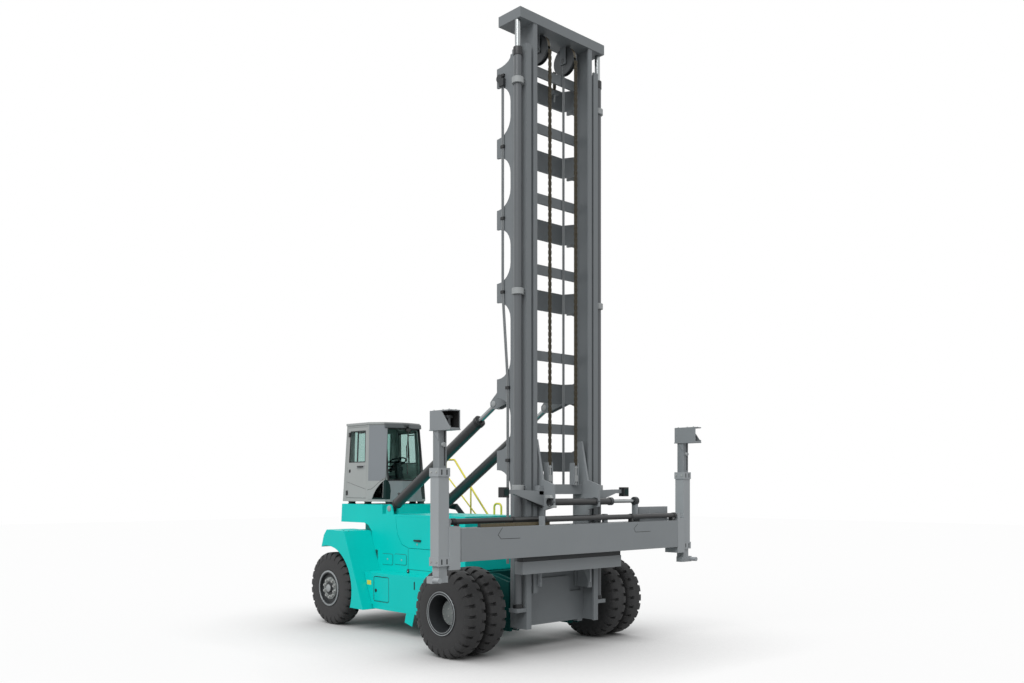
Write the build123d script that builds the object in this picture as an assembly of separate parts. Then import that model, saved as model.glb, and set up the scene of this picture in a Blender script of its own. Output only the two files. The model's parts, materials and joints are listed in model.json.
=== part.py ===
"""Empty container handler: rear cab, tall two-stage mast, telescopic side spreader.

Millimetres, +Z up, front of the machine towards -Y, its right side towards -X.
While modelling, Y is measured from the front axle; every piece is moved by
CENTRE_Y at the end, so that the origin is the middle of the footprint.
"""
import os
from math import cos, hypot, pi, radians, sin

from build123d import *

# Fits
RUNNING_GAP = 0.3
PANEL_GAP = 6

# Wheels
TYRE_RADIUS = 685
TYRE_WIDTH = 350
TYRE_LUGS = 26
GROOVE_DEPTH = 34
BEAD_RADIUS = 300
RIM_WALL = 16
RIM_LIP = 35
WHEELBASE = 4350
TWIN_INNER_X = 1400
TWIN_GAP = 65
TWIN_OUTER_X = TWIN_INNER_X + TYRE_WIDTH + TWIN_GAP
KINGPIN_X = 840
REAR_TYRE_X = KINGPIN_X + 212
AXLE_Z = TYRE_RADIUS
AXLE_HALF = 90

# Mast
MAST_BACK, MAST_DEEP, FLANGE = -340, 330, 35
PIVOT_Y, PIVOT_Z, PIVOT_RADIUS = MAST_BACK + 140, 440, 40
MAST_FRONT = MAST_BACK - MAST_DEEP
OUTER_X, OUTER_WIDE, OUTER_WEB = 828, 105, 40
INNER_X, INNER_WIDE = OUTER_X - 150, 85
FOOT_Z, MAST_TALL = 395, 9120
FOOT_PLATE = 850
OUTER_TOP = FOOT_Z + MAST_TALL
INNER_FOOT = FOOT_Z + 555
INNER_TOP = OUTER_TOP + 360
TOP_BEAM_TALL = 160
OUTER_BEAM_SHARES = (0.2898, 0.4158, 0.5838, 0.7123, 0.8376, 0.9614)
INNER_BAR_SHARES = (0.2930, 0.4244, 0.5804, 0.7091, 0.8361, 0.9382)
OUTER_BEAM_Z = [FOOT_Z + share * MAST_TALL for share in OUTER_BEAM_SHARES]
INNER_BAR_Z = [INNER_FOOT + share * (INNER_TOP - INNER_FOOT) for share in INNER_BAR_SHARES]
BEAM_TALL = 330
ROLLER_RADIUS = MAST_DEEP / 2 - FLANGE - RUNNING_GAP
ROLLER_Y = MAST_BACK - MAST_DEEP / 2
EAR_HALF, EAR_LONG, EAR_FILLET = 155, 360, 290

# Lift cylinders and chains
LIFT_RADIUS, LIFT_ROD_RADIUS = 64, 45
LIFT_X, LIFT_Y = OUTER_X + 95, MAST_FRONT + 100
LIFT_FOOT = FOOT_Z + 335
LIFT_TOP = OUTER_TOP - 70
LIFT_CLAMP_SHARES = (0.2415, 0.5765, 0.9354)
CHAIN_X, CHAIN_WIDE, CHAIN_DEEP = 300, 60, 30
SHEAVE_RADIUS, SHEAVE_WIDE, SHEAVE_PIN = 225, 80, 40
SHEAVE_Y = MAST_BACK - 75
SHEAVE_Z = INNER_TOP - SHEAVE_RADIUS - 10
FALL_FRONT = SHEAVE_Y - SHEAVE_RADIUS
FALL_REAR = SHEAVE_Y + SHEAVE_RADIUS

# Tilt cylinders
TILT_X = OUTER_X - 238
TILT_RADIUS, TILT_ROD_RADIUS = 95, 45
TAIL_PIN, EYE_PIN = 45, 40
LUG_GAP, LUG_PLATE = 45, 25
TAIL_Y, TAIL_Z = WHEELBASE - 1166, 2215
EYE_Y, EYE_Z = MAST_BACK + 622, round(OUTER_BEAM_Z[1]) - 212

# Spreader and carriage
BEAM_X, BEAM_DEEP, BEAM_HIGH, PLATE = 2480, 300, 468, 12
BEAM_BACK = MAST_FRONT - 100
BEAM_FRONT = BEAM_BACK - BEAM_DEEP
BEAM_LOW = 1560
BEAM_TOP = BEAM_LOW + BEAM_HIGH
LEG_X, LEG_HALF, LEG_WALL = BEAM_X + 300, 92, 20
LEG_Y = BEAM_FRONT + 120
TWISTLOCK_X = 2926.5
LOCK_RADIUS, LOCK_LONG = 36, 130
SHIFT_RADIUS, SHIFT_ROD = 55, 30
SHIFT_Y, SHIFT_Z = BEAM_BACK - 140, BEAM_TOP + 350
TELESCOPE_RADIUS, TELESCOPE_ROD = 42, 25
TELESCOPE_Z = BEAM_TOP + 90

# Body
BODY_X = 660
WALL = 30
BULKHEAD_Y = 1000
REAR_WALL_Y = WHEELBASE - 797
FRAME_Z = 700
SIDE_LOW = FRAME_Z + 60
HOOD_TOP = 2110
DECK_TOP = HOOD_TOP + 175
DECK_LOW = DECK_TOP - 355
DECK_FRONT = WHEELBASE - 950
DECK_REAR = WHEELBASE + 420
HATCH_FRONT = BULKHEAD_Y + 150
HATCH_REAR = WHEELBASE - 1370
LEFT_HATCH_REAR = WHEELBASE - 2345
HATCH_LOW, HATCH_TOP = HOOD_TOP - 610, HOOD_TOP - 40
BOX_X = BODY_X + 380
BOX_LOW, BOX_TALL, BOX_WALL = 470, 580, 20
BOX_TOP = BOX_LOW + BOX_TALL
BOX_FRONT = BULKHEAD_Y + 120
BOX_REAR_LOW, BOX_REAR_TOP = WHEELBASE - 1145, WHEELBASE - 895
BOX_DOOR_Y = (WHEELBASE - 1670, WHEELBASE - 1220)
BOX_DOOR_Z = (BOX_LOW + 70, BOX_TOP - 70)
FENDER_X = BODY_X + 600
ARCH_RADIUS = TYRE_RADIUS + 127
ENGINE_X, WEIGHT_X = 380, 250

# Cab, as its plan at floor level and how far its roof leans in
CAB_FLOOR = DECK_TOP + 51
CAB_TALL = 1524
CAB_ROOF = CAB_FLOOR + CAB_TALL
CAB_WALL = 45
CAB_REAR = WHEELBASE + 395
SIDE_LONG, CORNER_LONG, NOSE_LONG = 845, 340, 90
CORNER_IN, NOSE_IN = 180, 340
SIDE_LEAN, REAR_LEAN, FRONT_LEAN = 60, 75, 125

# Steps and rails on the left
STEP_DEEP, STEP_THICK, STEP_RUN, STEP_RISE = 260, 30, 300, 248
STEP_FRONT, STEP_LOW = WHEELBASE - 2265, 1300
RAIL_RADIUS, RAIL_BEND, RAIL_X = 19, 70, BOX_X - 20

CENTRE_Y = 1906.5


def block(x, y, z):
    """Box from three (low, high) pairs."""
    size = [high - low for low, high in (x, y, z)]
    middle = [(low + high) / 2 for low, high in (x, y, z)]
    return Pos(*middle) * Box(*size)


def slab(points, x):
    """Outline in the (Y, Z) plane, drawn out along X from x[0] to x[1]."""
    outline = make_face(Polyline(*[(x[0], y, z) for y, z in points], close=True))
    return extrude(outline, amount=x[1] - x[0], dir=(1, 0, 0))


def deck(points, z):
    """Outline in the (X, Y) plane, drawn up from z[0] to z[1]."""
    outline = make_face(Polyline(*[(px, py, z[0]) for px, py in points], close=True))
    return extrude(outline, amount=z[1] - z[0], dir=(0, 0, 1))


def bar(start, end, radius):
    """Round bar between two points."""
    axis = Vector(*end) - Vector(*start)
    base = Plane(origin=start, z_dir=axis)
    return extrude(base * Circle(radius), amount=axis.length)


def across(y, z, x, radius):
    """Round bar along X."""
    return bar((x[0], y, z), (x[1], y, z), radius)


def upright(x, y, z, radius):
    """Round bar along Z."""
    return bar((x, y, z[0]), (x, y, z[1]), radius)


def ring(y, z, x, outer, inner):
    """Tube along X."""
    return across(y, z, x, outer) - across(y, z, x, inner)


def around(middle, half):
    """The (low, high) pair that reaches half to each side of a middle."""
    return (middle - half, middle + half)


def fuse(pieces):
    """All the pieces as one solid."""
    pieces = list(pieces)
    whole = pieces[0]
    for piece in pieces[1:]:
        whole = whole + piece
    return whole


def inset(points, distance):
    """A convex outline with every edge moved in by distance."""
    count = len(points)
    turn = sum(
        points[i][0] * points[(i + 1) % count][1] - points[(i + 1) % count][0] * points[i][1]
        for i in range(count)
    )
    sense = 1 if turn > 0 else -1
    edges = []
    for i in range(count):
        (ax, ay), (bx, by) = points[i], points[(i + 1) % count]
        long = hypot(bx - ax, by - ay)
        along = ((bx - ax) / long, (by - ay) / long)
        inward = (-along[1] * sense * distance, along[0] * sense * distance)
        edges.append((ax + inward[0], ay + inward[1], along))
    moved = []
    for i in range(count):
        px, py, (ux, uy) = edges[i - 1]
        qx, qy, (vx, vy) = edges[i]
        share = ((qx - px) * vy - (qy - py) * vx) / (ux * vy - uy * vx)
        moved.append((px + share * ux, py + share * uy))
    return moved


def other_side(piece):
    """The same piece on the other side of the centre plane."""
    return mirror(piece, about=Plane.YZ)


def both(piece):
    """A piece and its mirror image, as separate solids."""
    return Compound(children=list(piece.solids()) + list(other_side(piece).solids()))


def joined(piece):
    """A piece that reaches the centre plane, fused with its mirror image."""
    return piece + other_side(piece)


NODES = {}


def node(name, shape):
    """Keep a finished piece under its name."""
    NODES[name] = shape


# Wheels

def tyre(x, y):
    """One tyre: a lugged band, two sloping sidewalls and a bore."""
    half = TYRE_WIDTH / 2
    band = half - 45
    step = 2 * pi / TYRE_LUGS
    rim_points = []
    for lug in range(TYRE_LUGS):
        for turn, reach in ((0.0, 0), (0.6, 0), (0.68, GROOVE_DEPTH), (0.92, GROOVE_DEPTH)):
            angle = (lug + turn) * step
            radius = TYRE_RADIUS - reach
            rim_points.append((radius * cos(angle), radius * sin(angle)))
    tread = make_face(Polyline(*rim_points, close=True))
    star = Pos(0, 0, -band) * extrude(tread, amount=2 * band)
    sides = 2 * TYRE_LUGS
    shoulder = RegularPolygon(TYRE_RADIUS - GROOVE_DEPTH - 6, sides)
    bulge = RegularPolygon((TYRE_RADIUS + BEAD_RADIUS) / 2 + 27.5, sides)
    wall = loft([Pos(0, 0, band) * shoulder, Pos(0, 0, half) * bulge], ruled=True)
    low_wall = mirror(wall, about=Plane.XY)
    bore = RegularPolygon(BEAD_RADIUS + RUNNING_GAP, sides, major_radius=False)
    hollow = Pos(0, 0, -half) * extrude(bore, amount=TYRE_WIDTH)
    shape = star + wall + low_wall - hollow
    return Pos(x, y, AXLE_Z) * Rot(0, 90, 0) * shape


def rim(x, y):
    """The steel barrel under one tyre, with its two lips."""
    half = TYRE_WIDTH / 2
    inner = BEAD_RADIUS - RIM_WALL
    lip = BEAD_RADIUS + RIM_LIP
    barrel = ring(y, AXLE_Z, around(x, half + 12), BEAD_RADIUS, inner)
    inner_lip = ring(y, AXLE_Z, (x - half - 12, x - half - 0.5), lip, inner)
    outer_lip = ring(y, AXLE_Z, (x + half + 0.5, x + half + 12), lip, inner)
    return fuse([barrel, inner_lip, outer_lip])


HUB_BORE = 110 + RUNNING_GAP
SPINDLE = 70


def front_wheel():
    """Twin tyres and, as one solid, the two rims, disc and planetary hub (left side)."""
    tyres = [tyre(x, 0) for x in (TWIN_INNER_X, TWIN_OUTER_X)]
    half = TYRE_WIDTH / 2
    band_x = (TWIN_INNER_X + half - 5, TWIN_OUTER_X - half + 5)
    band = ring(0, AXLE_Z, band_x, BEAD_RADIUS, BEAD_RADIUS - RIM_WALL)
    turned = [
        across(0, AXLE_Z, (TWIN_INNER_X + start, TWIN_INNER_X + end), radius)
        for start, end, radius in (
            (170, 202, BEAD_RADIUS - 10), (-255, 400, 195), (400, 412, 185),
        )
    ]
    steel = fuse([rim(x, 0) for x in (TWIN_INNER_X, TWIN_OUTER_X)] + [band] + turned)
    steel = steel - across(0, AXLE_Z, (TWIN_INNER_X - 270, TWIN_INNER_X + 130), HUB_BORE)
    return Compound(children=tyres), steel


def rear_wheel():
    """Tyre and rim of a steered wheel (left side)."""
    turned = [
        across(WHEELBASE, AXLE_Z, (REAR_TYRE_X + start, REAR_TYRE_X + end), radius)
        for start, end, radius in ((113, 138, BEAD_RADIUS - 10), (-12, 163, 125), (163, 183, 80))
    ]
    steel = fuse([rim(REAR_TYRE_X, WHEELBASE)] + turned)
    bore = across(WHEELBASE, AXLE_Z, (REAR_TYRE_X - 22, REAR_TYRE_X + 128), SPINDLE + RUNNING_GAP)
    return tyre(REAR_TYRE_X, WHEELBASE), steel - bore


front_tyres, front_rim = front_wheel()
rear_tyre, rear_rim = rear_wheel()
node("tyres_front_left", front_tyres)
node("tyres_front_right", Compound(children=[tyre(-x, 0) for x in (TWIN_INNER_X, TWIN_OUTER_X)]))
node("rim_front_left", front_rim)
node("rim_front_right", other_side(front_rim))
node("tyre_rear_left", rear_tyre)
node("tyre_rear_right", tyre(-REAR_TYRE_X, WHEELBASE))
node("rim_rear_left", rear_rim)
node("rim_rear_right", other_side(rear_rim))

# Axles and knuckles

AXLE_TUBE = 125
drive_half = fuse([
    across(0, AXLE_Z, (0, TWIN_INNER_X - 275), AXLE_TUBE),
    across(0, AXLE_Z, (TWIN_INNER_X - 275, TWIN_INNER_X + 125), HUB_BORE - RUNNING_GAP),
    across(0, AXLE_Z, (TWIN_INNER_X - 430, TWIN_INNER_X - 275), 235),
    across(90, AXLE_Z, (0, 230), 210),
])
node("drive_axle", joined(drive_half))

PIN_RADIUS, EYE_RADIUS, EYE_HALF = 35, 75, AXLE_HALF + 10
steer_plan = [(-KINGPIN_X + 40, -70), (-450, -150), (450, -150), (KINGPIN_X - 40, -70)]
steer_plan += [(-x, -y) for x, y in steer_plan]
steer_plan = [(x, y + WHEELBASE) for x, y in steer_plan]
steer_beam = deck(steer_plan, around(AXLE_Z, AXLE_HALF))
for x in (-KINGPIN_X, KINGPIN_X):
    steer_beam = steer_beam + upright(x, WHEELBASE, around(AXLE_Z, EYE_HALF), EYE_RADIUS)
for x in (-KINGPIN_X, KINGPIN_X):
    steer_beam = steer_beam - upright(x, WHEELBASE, around(AXLE_Z, EYE_HALF + 5), PIN_RADIUS + RUNNING_GAP)
node("steer_axle", steer_beam)

ARM_X = (KINGPIN_X - 70, KINGPIN_X + 150)
ARM_Y = around(WHEELBASE, 80)
ARM_HALF = EYE_HALF + 50
knuckle = fuse([
    block(ARM_X, ARM_Y, (AXLE_Z + EYE_HALF + RUNNING_GAP, AXLE_Z + ARM_HALF)),
    block(ARM_X, ARM_Y, (AXLE_Z - ARM_HALF, AXLE_Z - EYE_HALF - RUNNING_GAP)),
    block((KINGPIN_X + 90, KINGPIN_X + 180), ARM_Y, around(AXLE_Z, ARM_HALF)),
    upright(KINGPIN_X, WHEELBASE, around(AXLE_Z, ARM_HALF), PIN_RADIUS),
    across(WHEELBASE, AXLE_Z, (KINGPIN_X + 150, REAR_TYRE_X + 123), SPINDLE),
])
node("knuckle_left", knuckle)
node("knuckle_right", other_side(knuckle))

# Chassis


def hatch_outline(gap):
    """Right hood hatch, with its rear lower edge swept up; gap on all edges but the hinge."""
    low, top = HATCH_LOW + gap, HATCH_TOP - (RUNNING_GAP if gap else 0)
    rear = HATCH_REAR - gap
    return [
        (HATCH_FRONT + gap, low), (rear - 380, low), (rear - 180, low + 60), (rear - 50, low + 240),
        (rear, low + 460), (rear, top), (HATCH_FRONT + gap, top),
    ]


def left_hatch_outline(gap):
    """Left hood hatch, which ends before the steps."""
    low, top = HATCH_LOW + gap, HATCH_TOP - (RUNNING_GAP if gap else 0)
    rear = LEFT_HATCH_REAR - gap
    return [(HATCH_FRONT + gap, low), (rear, low), (rear, top), (HATCH_FRONT + gap, top)]


side_outline = [
    (BULKHEAD_Y, SIDE_LOW), (REAR_WALL_Y, SIDE_LOW), (REAR_WALL_Y, DECK_LOW - 500),
    (REAR_WALL_Y + 147, DECK_LOW - 500), (REAR_WALL_Y + 207, DECK_LOW - 150),
    (REAR_WALL_Y + 307, DECK_LOW - 40), (REAR_WALL_Y + 447, DECK_LOW), (DECK_REAR + 30, DECK_LOW),
    (DECK_REAR, DECK_TOP), (DECK_FRONT, DECK_TOP), (DECK_FRONT, HOOD_TOP), (BULKHEAD_Y, HOOD_TOP),
]
cheek_outline = [
    (FRAME_Z, PIVOT_Z - 120), (PIVOT_Y - 60, PIVOT_Z - 120), (PIVOT_Y - 85, PIVOT_Z - 60),
    (PIVOT_Y - 85, PIVOT_Z + 50), (PIVOT_Y - 30, PIVOT_Z + 110), (PIVOT_Y - 30, FRAME_Z + 400),
    (200, FRAME_Z + 500), (FRAME_Z, FRAME_Z + 500),
]
tail_lug = [
    (TAIL_Y - 130, HOOD_TOP - 20), (TAIL_Y - 80, TAIL_Z + 40), (TAIL_Y - 30, TAIL_Z + 75),
    (TAIL_Y + 40, TAIL_Z + 75), (TAIL_Y + 90, TAIL_Z + 30), (TAIL_Y + 110, HOOD_TOP - 20),
]
LUG_INNER = (TILT_X - LUG_GAP - LUG_PLATE, TILT_X - LUG_GAP)
LUG_OUTER = (TILT_X + LUG_GAP, TILT_X + LUG_GAP + LUG_PLATE)
LUG_SPAN = (LUG_INNER[0], LUG_OUTER[1])
CHEEK_INNER, CHEEK_OUTER = (600, 640), (760, 800)
cheeks = slab(cheek_outline, CHEEK_INNER) + slab(cheek_outline, CHEEK_OUTER)
cheeks = cheeks - across(0, AXLE_Z, (500, 900), AXLE_TUBE + RUNNING_GAP)
frame_half = fuse([
    block((560, BODY_X), (600, REAR_WALL_Y), (FRAME_Z, FRAME_Z + 480)),
    block((0, 600), (BULKHEAD_Y - 100, REAR_WALL_Y), (FRAME_Z, FRAME_Z + WALL)),
    cheeks,
    block((0, CHEEK_OUTER[0]), (520, 700), (FRAME_Z + 180, FRAME_Z + 500)),
    across(PIVOT_Y, PIVOT_Z, (CHEEK_INNER[0], CHEEK_OUTER[1]), PIVOT_RADIUS),
    slab(side_outline, (BODY_X - WALL, BODY_X)),
    block((0, BODY_X), (BULKHEAD_Y, BULKHEAD_Y + WALL), (FRAME_Z + 480, HOOD_TOP)),
    block((0, BODY_X), (BULKHEAD_Y, DECK_FRONT), (HOOD_TOP - WALL, HOOD_TOP)),
    block((0, BODY_X), (REAR_WALL_Y - WALL, REAR_WALL_Y), (FRAME_Z, DECK_LOW)),
    slab([
        (DECK_FRONT, DECK_LOW + WALL), (DECK_REAR + 27, DECK_LOW + WALL), (DECK_REAR, DECK_TOP),
        (DECK_FRONT, DECK_TOP),
    ], (0, BODY_X - 5)),
    slab(tail_lug, LUG_INNER),
    slab(tail_lug, LUG_OUTER),
    across(TAIL_Y, TAIL_Z, LUG_SPAN, TAIL_PIN),
])
frame = joined(frame_half)
frame = frame - slab(hatch_outline(0), (-BODY_X - 80, -BODY_X + 120))
frame = frame - slab(left_hatch_outline(0), (BODY_X - 120, BODY_X + 80))
node("chassis_frame", frame)
node("hood_hatch_left", slab(left_hatch_outline(PANEL_GAP), (BODY_X - WALL, BODY_X)))
node("hood_hatch_right", slab(hatch_outline(PANEL_GAP), (-BODY_X, -BODY_X + WALL)))

engine_y = (HATCH_FRONT + 350, WHEELBASE - 1450)
node("engine_block", block((-ENGINE_X, ENGINE_X), engine_y, (FRAME_Z + WALL, FRAME_Z + 950)))

TOW_Y = WHEELBASE + 685
WEIGHT_LOW, WEIGHT_TOP = AXLE_Z - 235, AXLE_Z + 715
WEIGHT_BACK = WHEELBASE + 710
weight = fuse([
    block((-WEIGHT_X, WEIGHT_X), (REAR_WALL_Y, WHEELBASE + 210), (AXLE_Z + AXLE_HALF, DECK_LOW)),
    slab([
        (WHEELBASE + 210, WEIGHT_LOW), (WEIGHT_BACK, WEIGHT_LOW), (WEIGHT_BACK + 40, WEIGHT_LOW + 250),
        (WEIGHT_BACK, WEIGHT_TOP), (WHEELBASE + 210, WEIGHT_TOP),
    ], (-WEIGHT_X, WEIGHT_X)),
    slab([
        (REAR_WALL_Y + 167, DECK_LOW - 500), (WHEELBASE + 600, DECK_LOW - 500),
        (WHEELBASE + 560, DECK_LOW - 170), (REAR_WALL_Y + 237, DECK_LOW - 170),
    ], (-WEIGHT_X - 220, WEIGHT_X + 220)),
])
jaw_y = (TOW_Y - 75, TOW_Y + 75)
tow_jaw = block((-90, 90), jaw_y, (WEIGHT_LOW + 160, WEIGHT_LOW + 260))
pin_well = block((-90, 90), jaw_y, (WEIGHT_LOW + 410, WEIGHT_TOP + 10))
tow_bore = upright(0, TOW_Y, (WEIGHT_LOW + 90, WEIGHT_LOW + 450), 26)
node("counterweight", weight - tow_jaw - pin_well - tow_bore)

fender_outline = [
    (BOX_REAR_LOW - 35, BOX_LOW - 90), (BOX_REAR_LOW + 275, BOX_TOP + 40), (WHEELBASE - 560, DECK_LOW - 140),
    (WHEELBASE + 30, DECK_LOW - 125), (WHEELBASE + 130, DECK_LOW - 230), (WHEELBASE + 215, DECK_LOW - 455),
    (WHEELBASE + 215, BOX_LOW - 70),
]
fender_span = (BODY_X - 20, FENDER_X + 80)
arch = across(WHEELBASE, AXLE_Z, fender_span, ARCH_RADIUS)
below_arch = block(fender_span, (WHEELBASE - ARCH_RADIUS + 72, WHEELBASE + 350), (BOX_LOW - 170, AXLE_Z))
fender = slab(fender_outline, (BODY_X, FENDER_X)) - arch - below_arch
node("rear_fenders", both(fender))

# Side box with a door on the right, plain tank on the left
box_outline = [
    (BOX_FRONT, BOX_LOW), (BOX_REAR_LOW, BOX_LOW), (BOX_REAR_TOP, BOX_TOP), (BOX_FRONT, BOX_TOP),
]
box = slab(box_outline, (-BOX_X, -BODY_X))
box = box - slab(inset(box_outline, BOX_WALL), (-BOX_X + BOX_WALL, -BODY_X - BOX_WALL))
box = box - block((-BOX_X - 10, -BOX_X + BOX_WALL + 10), BOX_DOOR_Y, BOX_DOOR_Z)
node("side_box_right", box)
box_door = block(
    (-BOX_X, -BOX_X + BOX_WALL),
    (BOX_DOOR_Y[0] + RUNNING_GAP, BOX_DOOR_Y[1] - PANEL_GAP),
    (BOX_DOOR_Z[0] + PANEL_GAP, BOX_DOOR_Z[1] - PANEL_GAP),
)
node("side_box_door", box_door)
node("side_tank_left", slab(box_outline, (BODY_X, BOX_X)))

# Steps and rails on the left
STEPS = [(STEP_FRONT + i * STEP_RUN, STEP_LOW + i * STEP_RISE) for i in range(4)]
LANDING_Y = (STEP_FRONT + 4 * STEP_RUN, STEP_FRONT + 4 * STEP_RUN + 750)
steps = [block((BODY_X, BOX_X), (y, y + STEP_DEEP), (z - STEP_THICK, z)) for y, z in STEPS]
landing = block((BODY_X, BOX_X), LANDING_Y, (DECK_TOP - STEP_THICK, DECK_TOP))
foot_y = STEP_FRONT - 20
stringer = slab([
    (foot_y, STEP_LOW - 40), (foot_y + 140, STEP_LOW - 60), (LANDING_Y[0] + 20, DECK_TOP - 125),
    (LANDING_Y[1], DECK_TOP - 50), (LANDING_Y[1], DECK_TOP), (LANDING_Y[0] - 20, DECK_TOP),
    (foot_y, STEP_LOW + 10),
], (BOX_X, BOX_X + 15))
step_post = block((BOX_X - 40, BOX_X + 15), (foot_y, foot_y + 140), (BOX_TOP, STEP_LOW - 20))
node("access_steps", fuse(steps + [landing, stringer, step_post]))


def rail(points):
    """Round tube bent through a chain of points."""
    path = FilletPolyline(*points, radius=RAIL_BEND)
    return sweep((path ^ 0) * Circle(RAIL_RADIUS), path=path)


rail_foot = STEP_FRONT + 130
rail_end = LANDING_Y[0] + 300
top_rail = rail([
    (RAIL_X, rail_foot, STEP_LOW), (RAIL_X, rail_foot, STEP_LOW + 680),
    (RAIL_X, rail_foot + 420, STEP_LOW + 1120), (RAIL_X, rail_end - 270, DECK_TOP + 875),
    (RAIL_X, rail_end, DECK_TOP + 875), (RAIL_X, rail_end, DECK_TOP),
])
mid_rail = bar((RAIL_X, rail_foot, STEP_LOW + 400), (RAIL_X, rail_end, DECK_TOP + 585), RAIL_RADIUS - 5)
post_y, post_z = STEPS[2][0] + 130, STEPS[2][1]
post = bar((RAIL_X, post_y, post_z), (RAIL_X, post_y, post_z + 814), RAIL_RADIUS - 3)
hoop_x, hoop_y = BODY_X - 60, BULKHEAD_Y + 570
hoop = rail([
    (hoop_x, hoop_y - 95, HOOD_TOP), (hoop_x, hoop_y - 95, HOOD_TOP + 200),
    (hoop_x, hoop_y + 95, HOOD_TOP + 200), (hoop_x, hoop_y + 95, HOOD_TOP),
])
node("handrails", Compound(children=[fuse([top_rail, mid_rail, post]), hoop]))

# Cab


def cab_plan(lean):
    """Right to left plan of the cab, leaned in by a share of the roof's lean."""
    half = BODY_X - SIDE_LEAN * lean
    rear = CAB_REAR - REAR_LEAN * lean
    side = CAB_REAR - SIDE_LONG + 30 * lean
    corner = CAB_REAR - SIDE_LONG - CORNER_LONG + FRONT_LEAN * lean
    nose = corner - NOSE_LONG
    right = [(half, rear), (half, side), (half - CORNER_IN, corner), (half - CORNER_IN - NOSE_IN, nose)]
    return right + [(-x, y) for x, y in reversed(right)]


def cab_body(margin):
    """Solid with the cab's outline, moved in all round by margin."""
    faces = []
    for z in (CAB_FLOOR + margin, CAB_ROOF - margin):
        lean = (z - CAB_FLOOR) / CAB_TALL
        points = [(x, y, z) for x, y in inset(cab_plan(lean), margin)]
        faces.append(make_face(Polyline(*points, close=True)))
    return loft(faces, ruled=True)


CAB_SIDE = CAB_REAR - SIDE_LONG
door_low, door_top = CAB_FLOOR + 64, CAB_ROOF - 80
door_front, door_rear = CAB_SIDE + 50, CAB_REAR - 105


def door_outline(gap):
    """Door opening, or with a gap the door in it; the rear edge is hinged."""
    hinge = RUNNING_GAP if gap else 0
    return [
        (door_front + gap, door_low + gap), (door_rear - hinge, door_low + gap),
        (door_rear - 40 - hinge, door_top - gap), (door_front + 25 + gap, door_top - gap),
    ]


def door_window(gap):
    """Window opening of a door, or with a gap the pane in it."""
    return inset([
        (door_front + 65, door_low + 700), (door_rear - 80, door_low + 700),
        (door_rear - 105, door_top - 80), (door_front + 80, door_top - 80),
    ], gap)


def window_cutters(gap):
    """Volumes that pass through the cab where it has fixed glass, less a gap on each side."""
    front_y = CAB_REAR - SIDE_LONG - CORNER_LONG
    rear = block(around(0, BODY_X - 220 - gap), around(CAB_REAR, 200), (CAB_FLOOR + 564 + gap, CAB_ROOF - 160 - gap))
    front = block(around(0, BODY_X - 250 - gap), around(front_y, 250), (CAB_FLOOR + 404 + gap, CAB_ROOF - 120 - gap))
    low = Pos(BODY_X - CORNER_IN / 2, front_y + CORNER_LONG / 2 + 10, CAB_FLOOR + 235)
    low = low * Rot(0, 0, 62) * Box(280 - 2 * gap, 500, 330 - 2 * gap)
    return [rear, front, low, other_side(low)]


cab_wall = cab_body(0) - cab_body(CAB_WALL)
shell = cab_wall
for cutter in window_cutters(0):
    shell = shell - cutter
door_cut = slab(door_outline(0), (BODY_X - 220, BODY_X + 180))
shell = shell - door_cut - other_side(door_cut)
roof_lip = deck(inset(cab_plan(1), -14), (CAB_ROOF - 42, CAB_ROOF)) - cab_body(CAB_WALL)
shell = shell + roof_lip
FEET = ((BODY_X - 120, CAB_REAR - 145), (BODY_X - 120, CAB_SIDE + 150), (380, CAB_SIDE - 320))
for x, y in FEET:
    for side in (-x, x):
        shell = shell + upright(side, y, (DECK_TOP, CAB_FLOOR + 10), 45)
node("cab_shell", shell)

pane = cab_body(12) - cab_body(22)
panes = [pane & cutter for cutter in window_cutters(RUNNING_GAP)]
node("cab_glass", Compound(children=[solid for piece in panes for solid in piece.solids()]))

door_space = slab(door_outline(PANEL_GAP - 1), (BODY_X - 220, BODY_X + 180))
door = (cab_wall & door_space) - slab(door_window(0), (BODY_X - 220, BODY_X + 180))
door_pane = pane & slab(door_window(RUNNING_GAP), (BODY_X - 220, BODY_X + 180))
node("cab_door_left", door)
node("cab_door_right", other_side(door))
node("door_glass_left", door_pane)
node("door_glass_right", other_side(door_pane))

floor_z = CAB_FLOOR + CAB_WALL
seat_y = CAB_REAR - 595
seat = fuse([
    block(around(0, 150), (seat_y, seat_y + 300), (floor_z, floor_z + 330)),
    block(around(0, 260), (seat_y - 100, seat_y + 380), (floor_z + 330, floor_z + 460)),
    slab([
        (seat_y + 280, floor_z + 400), (seat_y + 390, floor_z + 400), (seat_y + 480, floor_z + 1050),
        (seat_y + 390, floor_z + 1050),
    ], around(0, 250)),
    block((-330, -270), (seat_y - 70, seat_y + 330), (floor_z + 560, floor_z + 640)),
    block((270, 330), (seat_y - 70, seat_y + 330), (floor_z + 560, floor_z + 640)),
    block(around(0, 300), (seat_y + 250, seat_y + 350), (floor_z + 540, floor_z + 600)),
])
node("cab_seat", seat)
wheel_plane = Plane(origin=(0, seat_y - 290, floor_z + 720), z_dir=(0, 0.5, 1))
column = [
    (seat_y - 510, floor_z + 200), (seat_y - 390, floor_z + 200), (seat_y - 270, floor_z + 720),
    (seat_y - 350, floor_z + 700),
]
controls = fuse([
    block(around(0, 300), (seat_y - 535, seat_y - 440), (floor_z, floor_z + 300)),
    slab(column, around(0, 60)),
    wheel_plane * Torus(190, 14),
    wheel_plane * Box(390, 30, 16),
    wheel_plane * Box(30, 390, 16),
    wheel_plane * Cylinder(50, 30),
])
node("cab_controls", controls)

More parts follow.
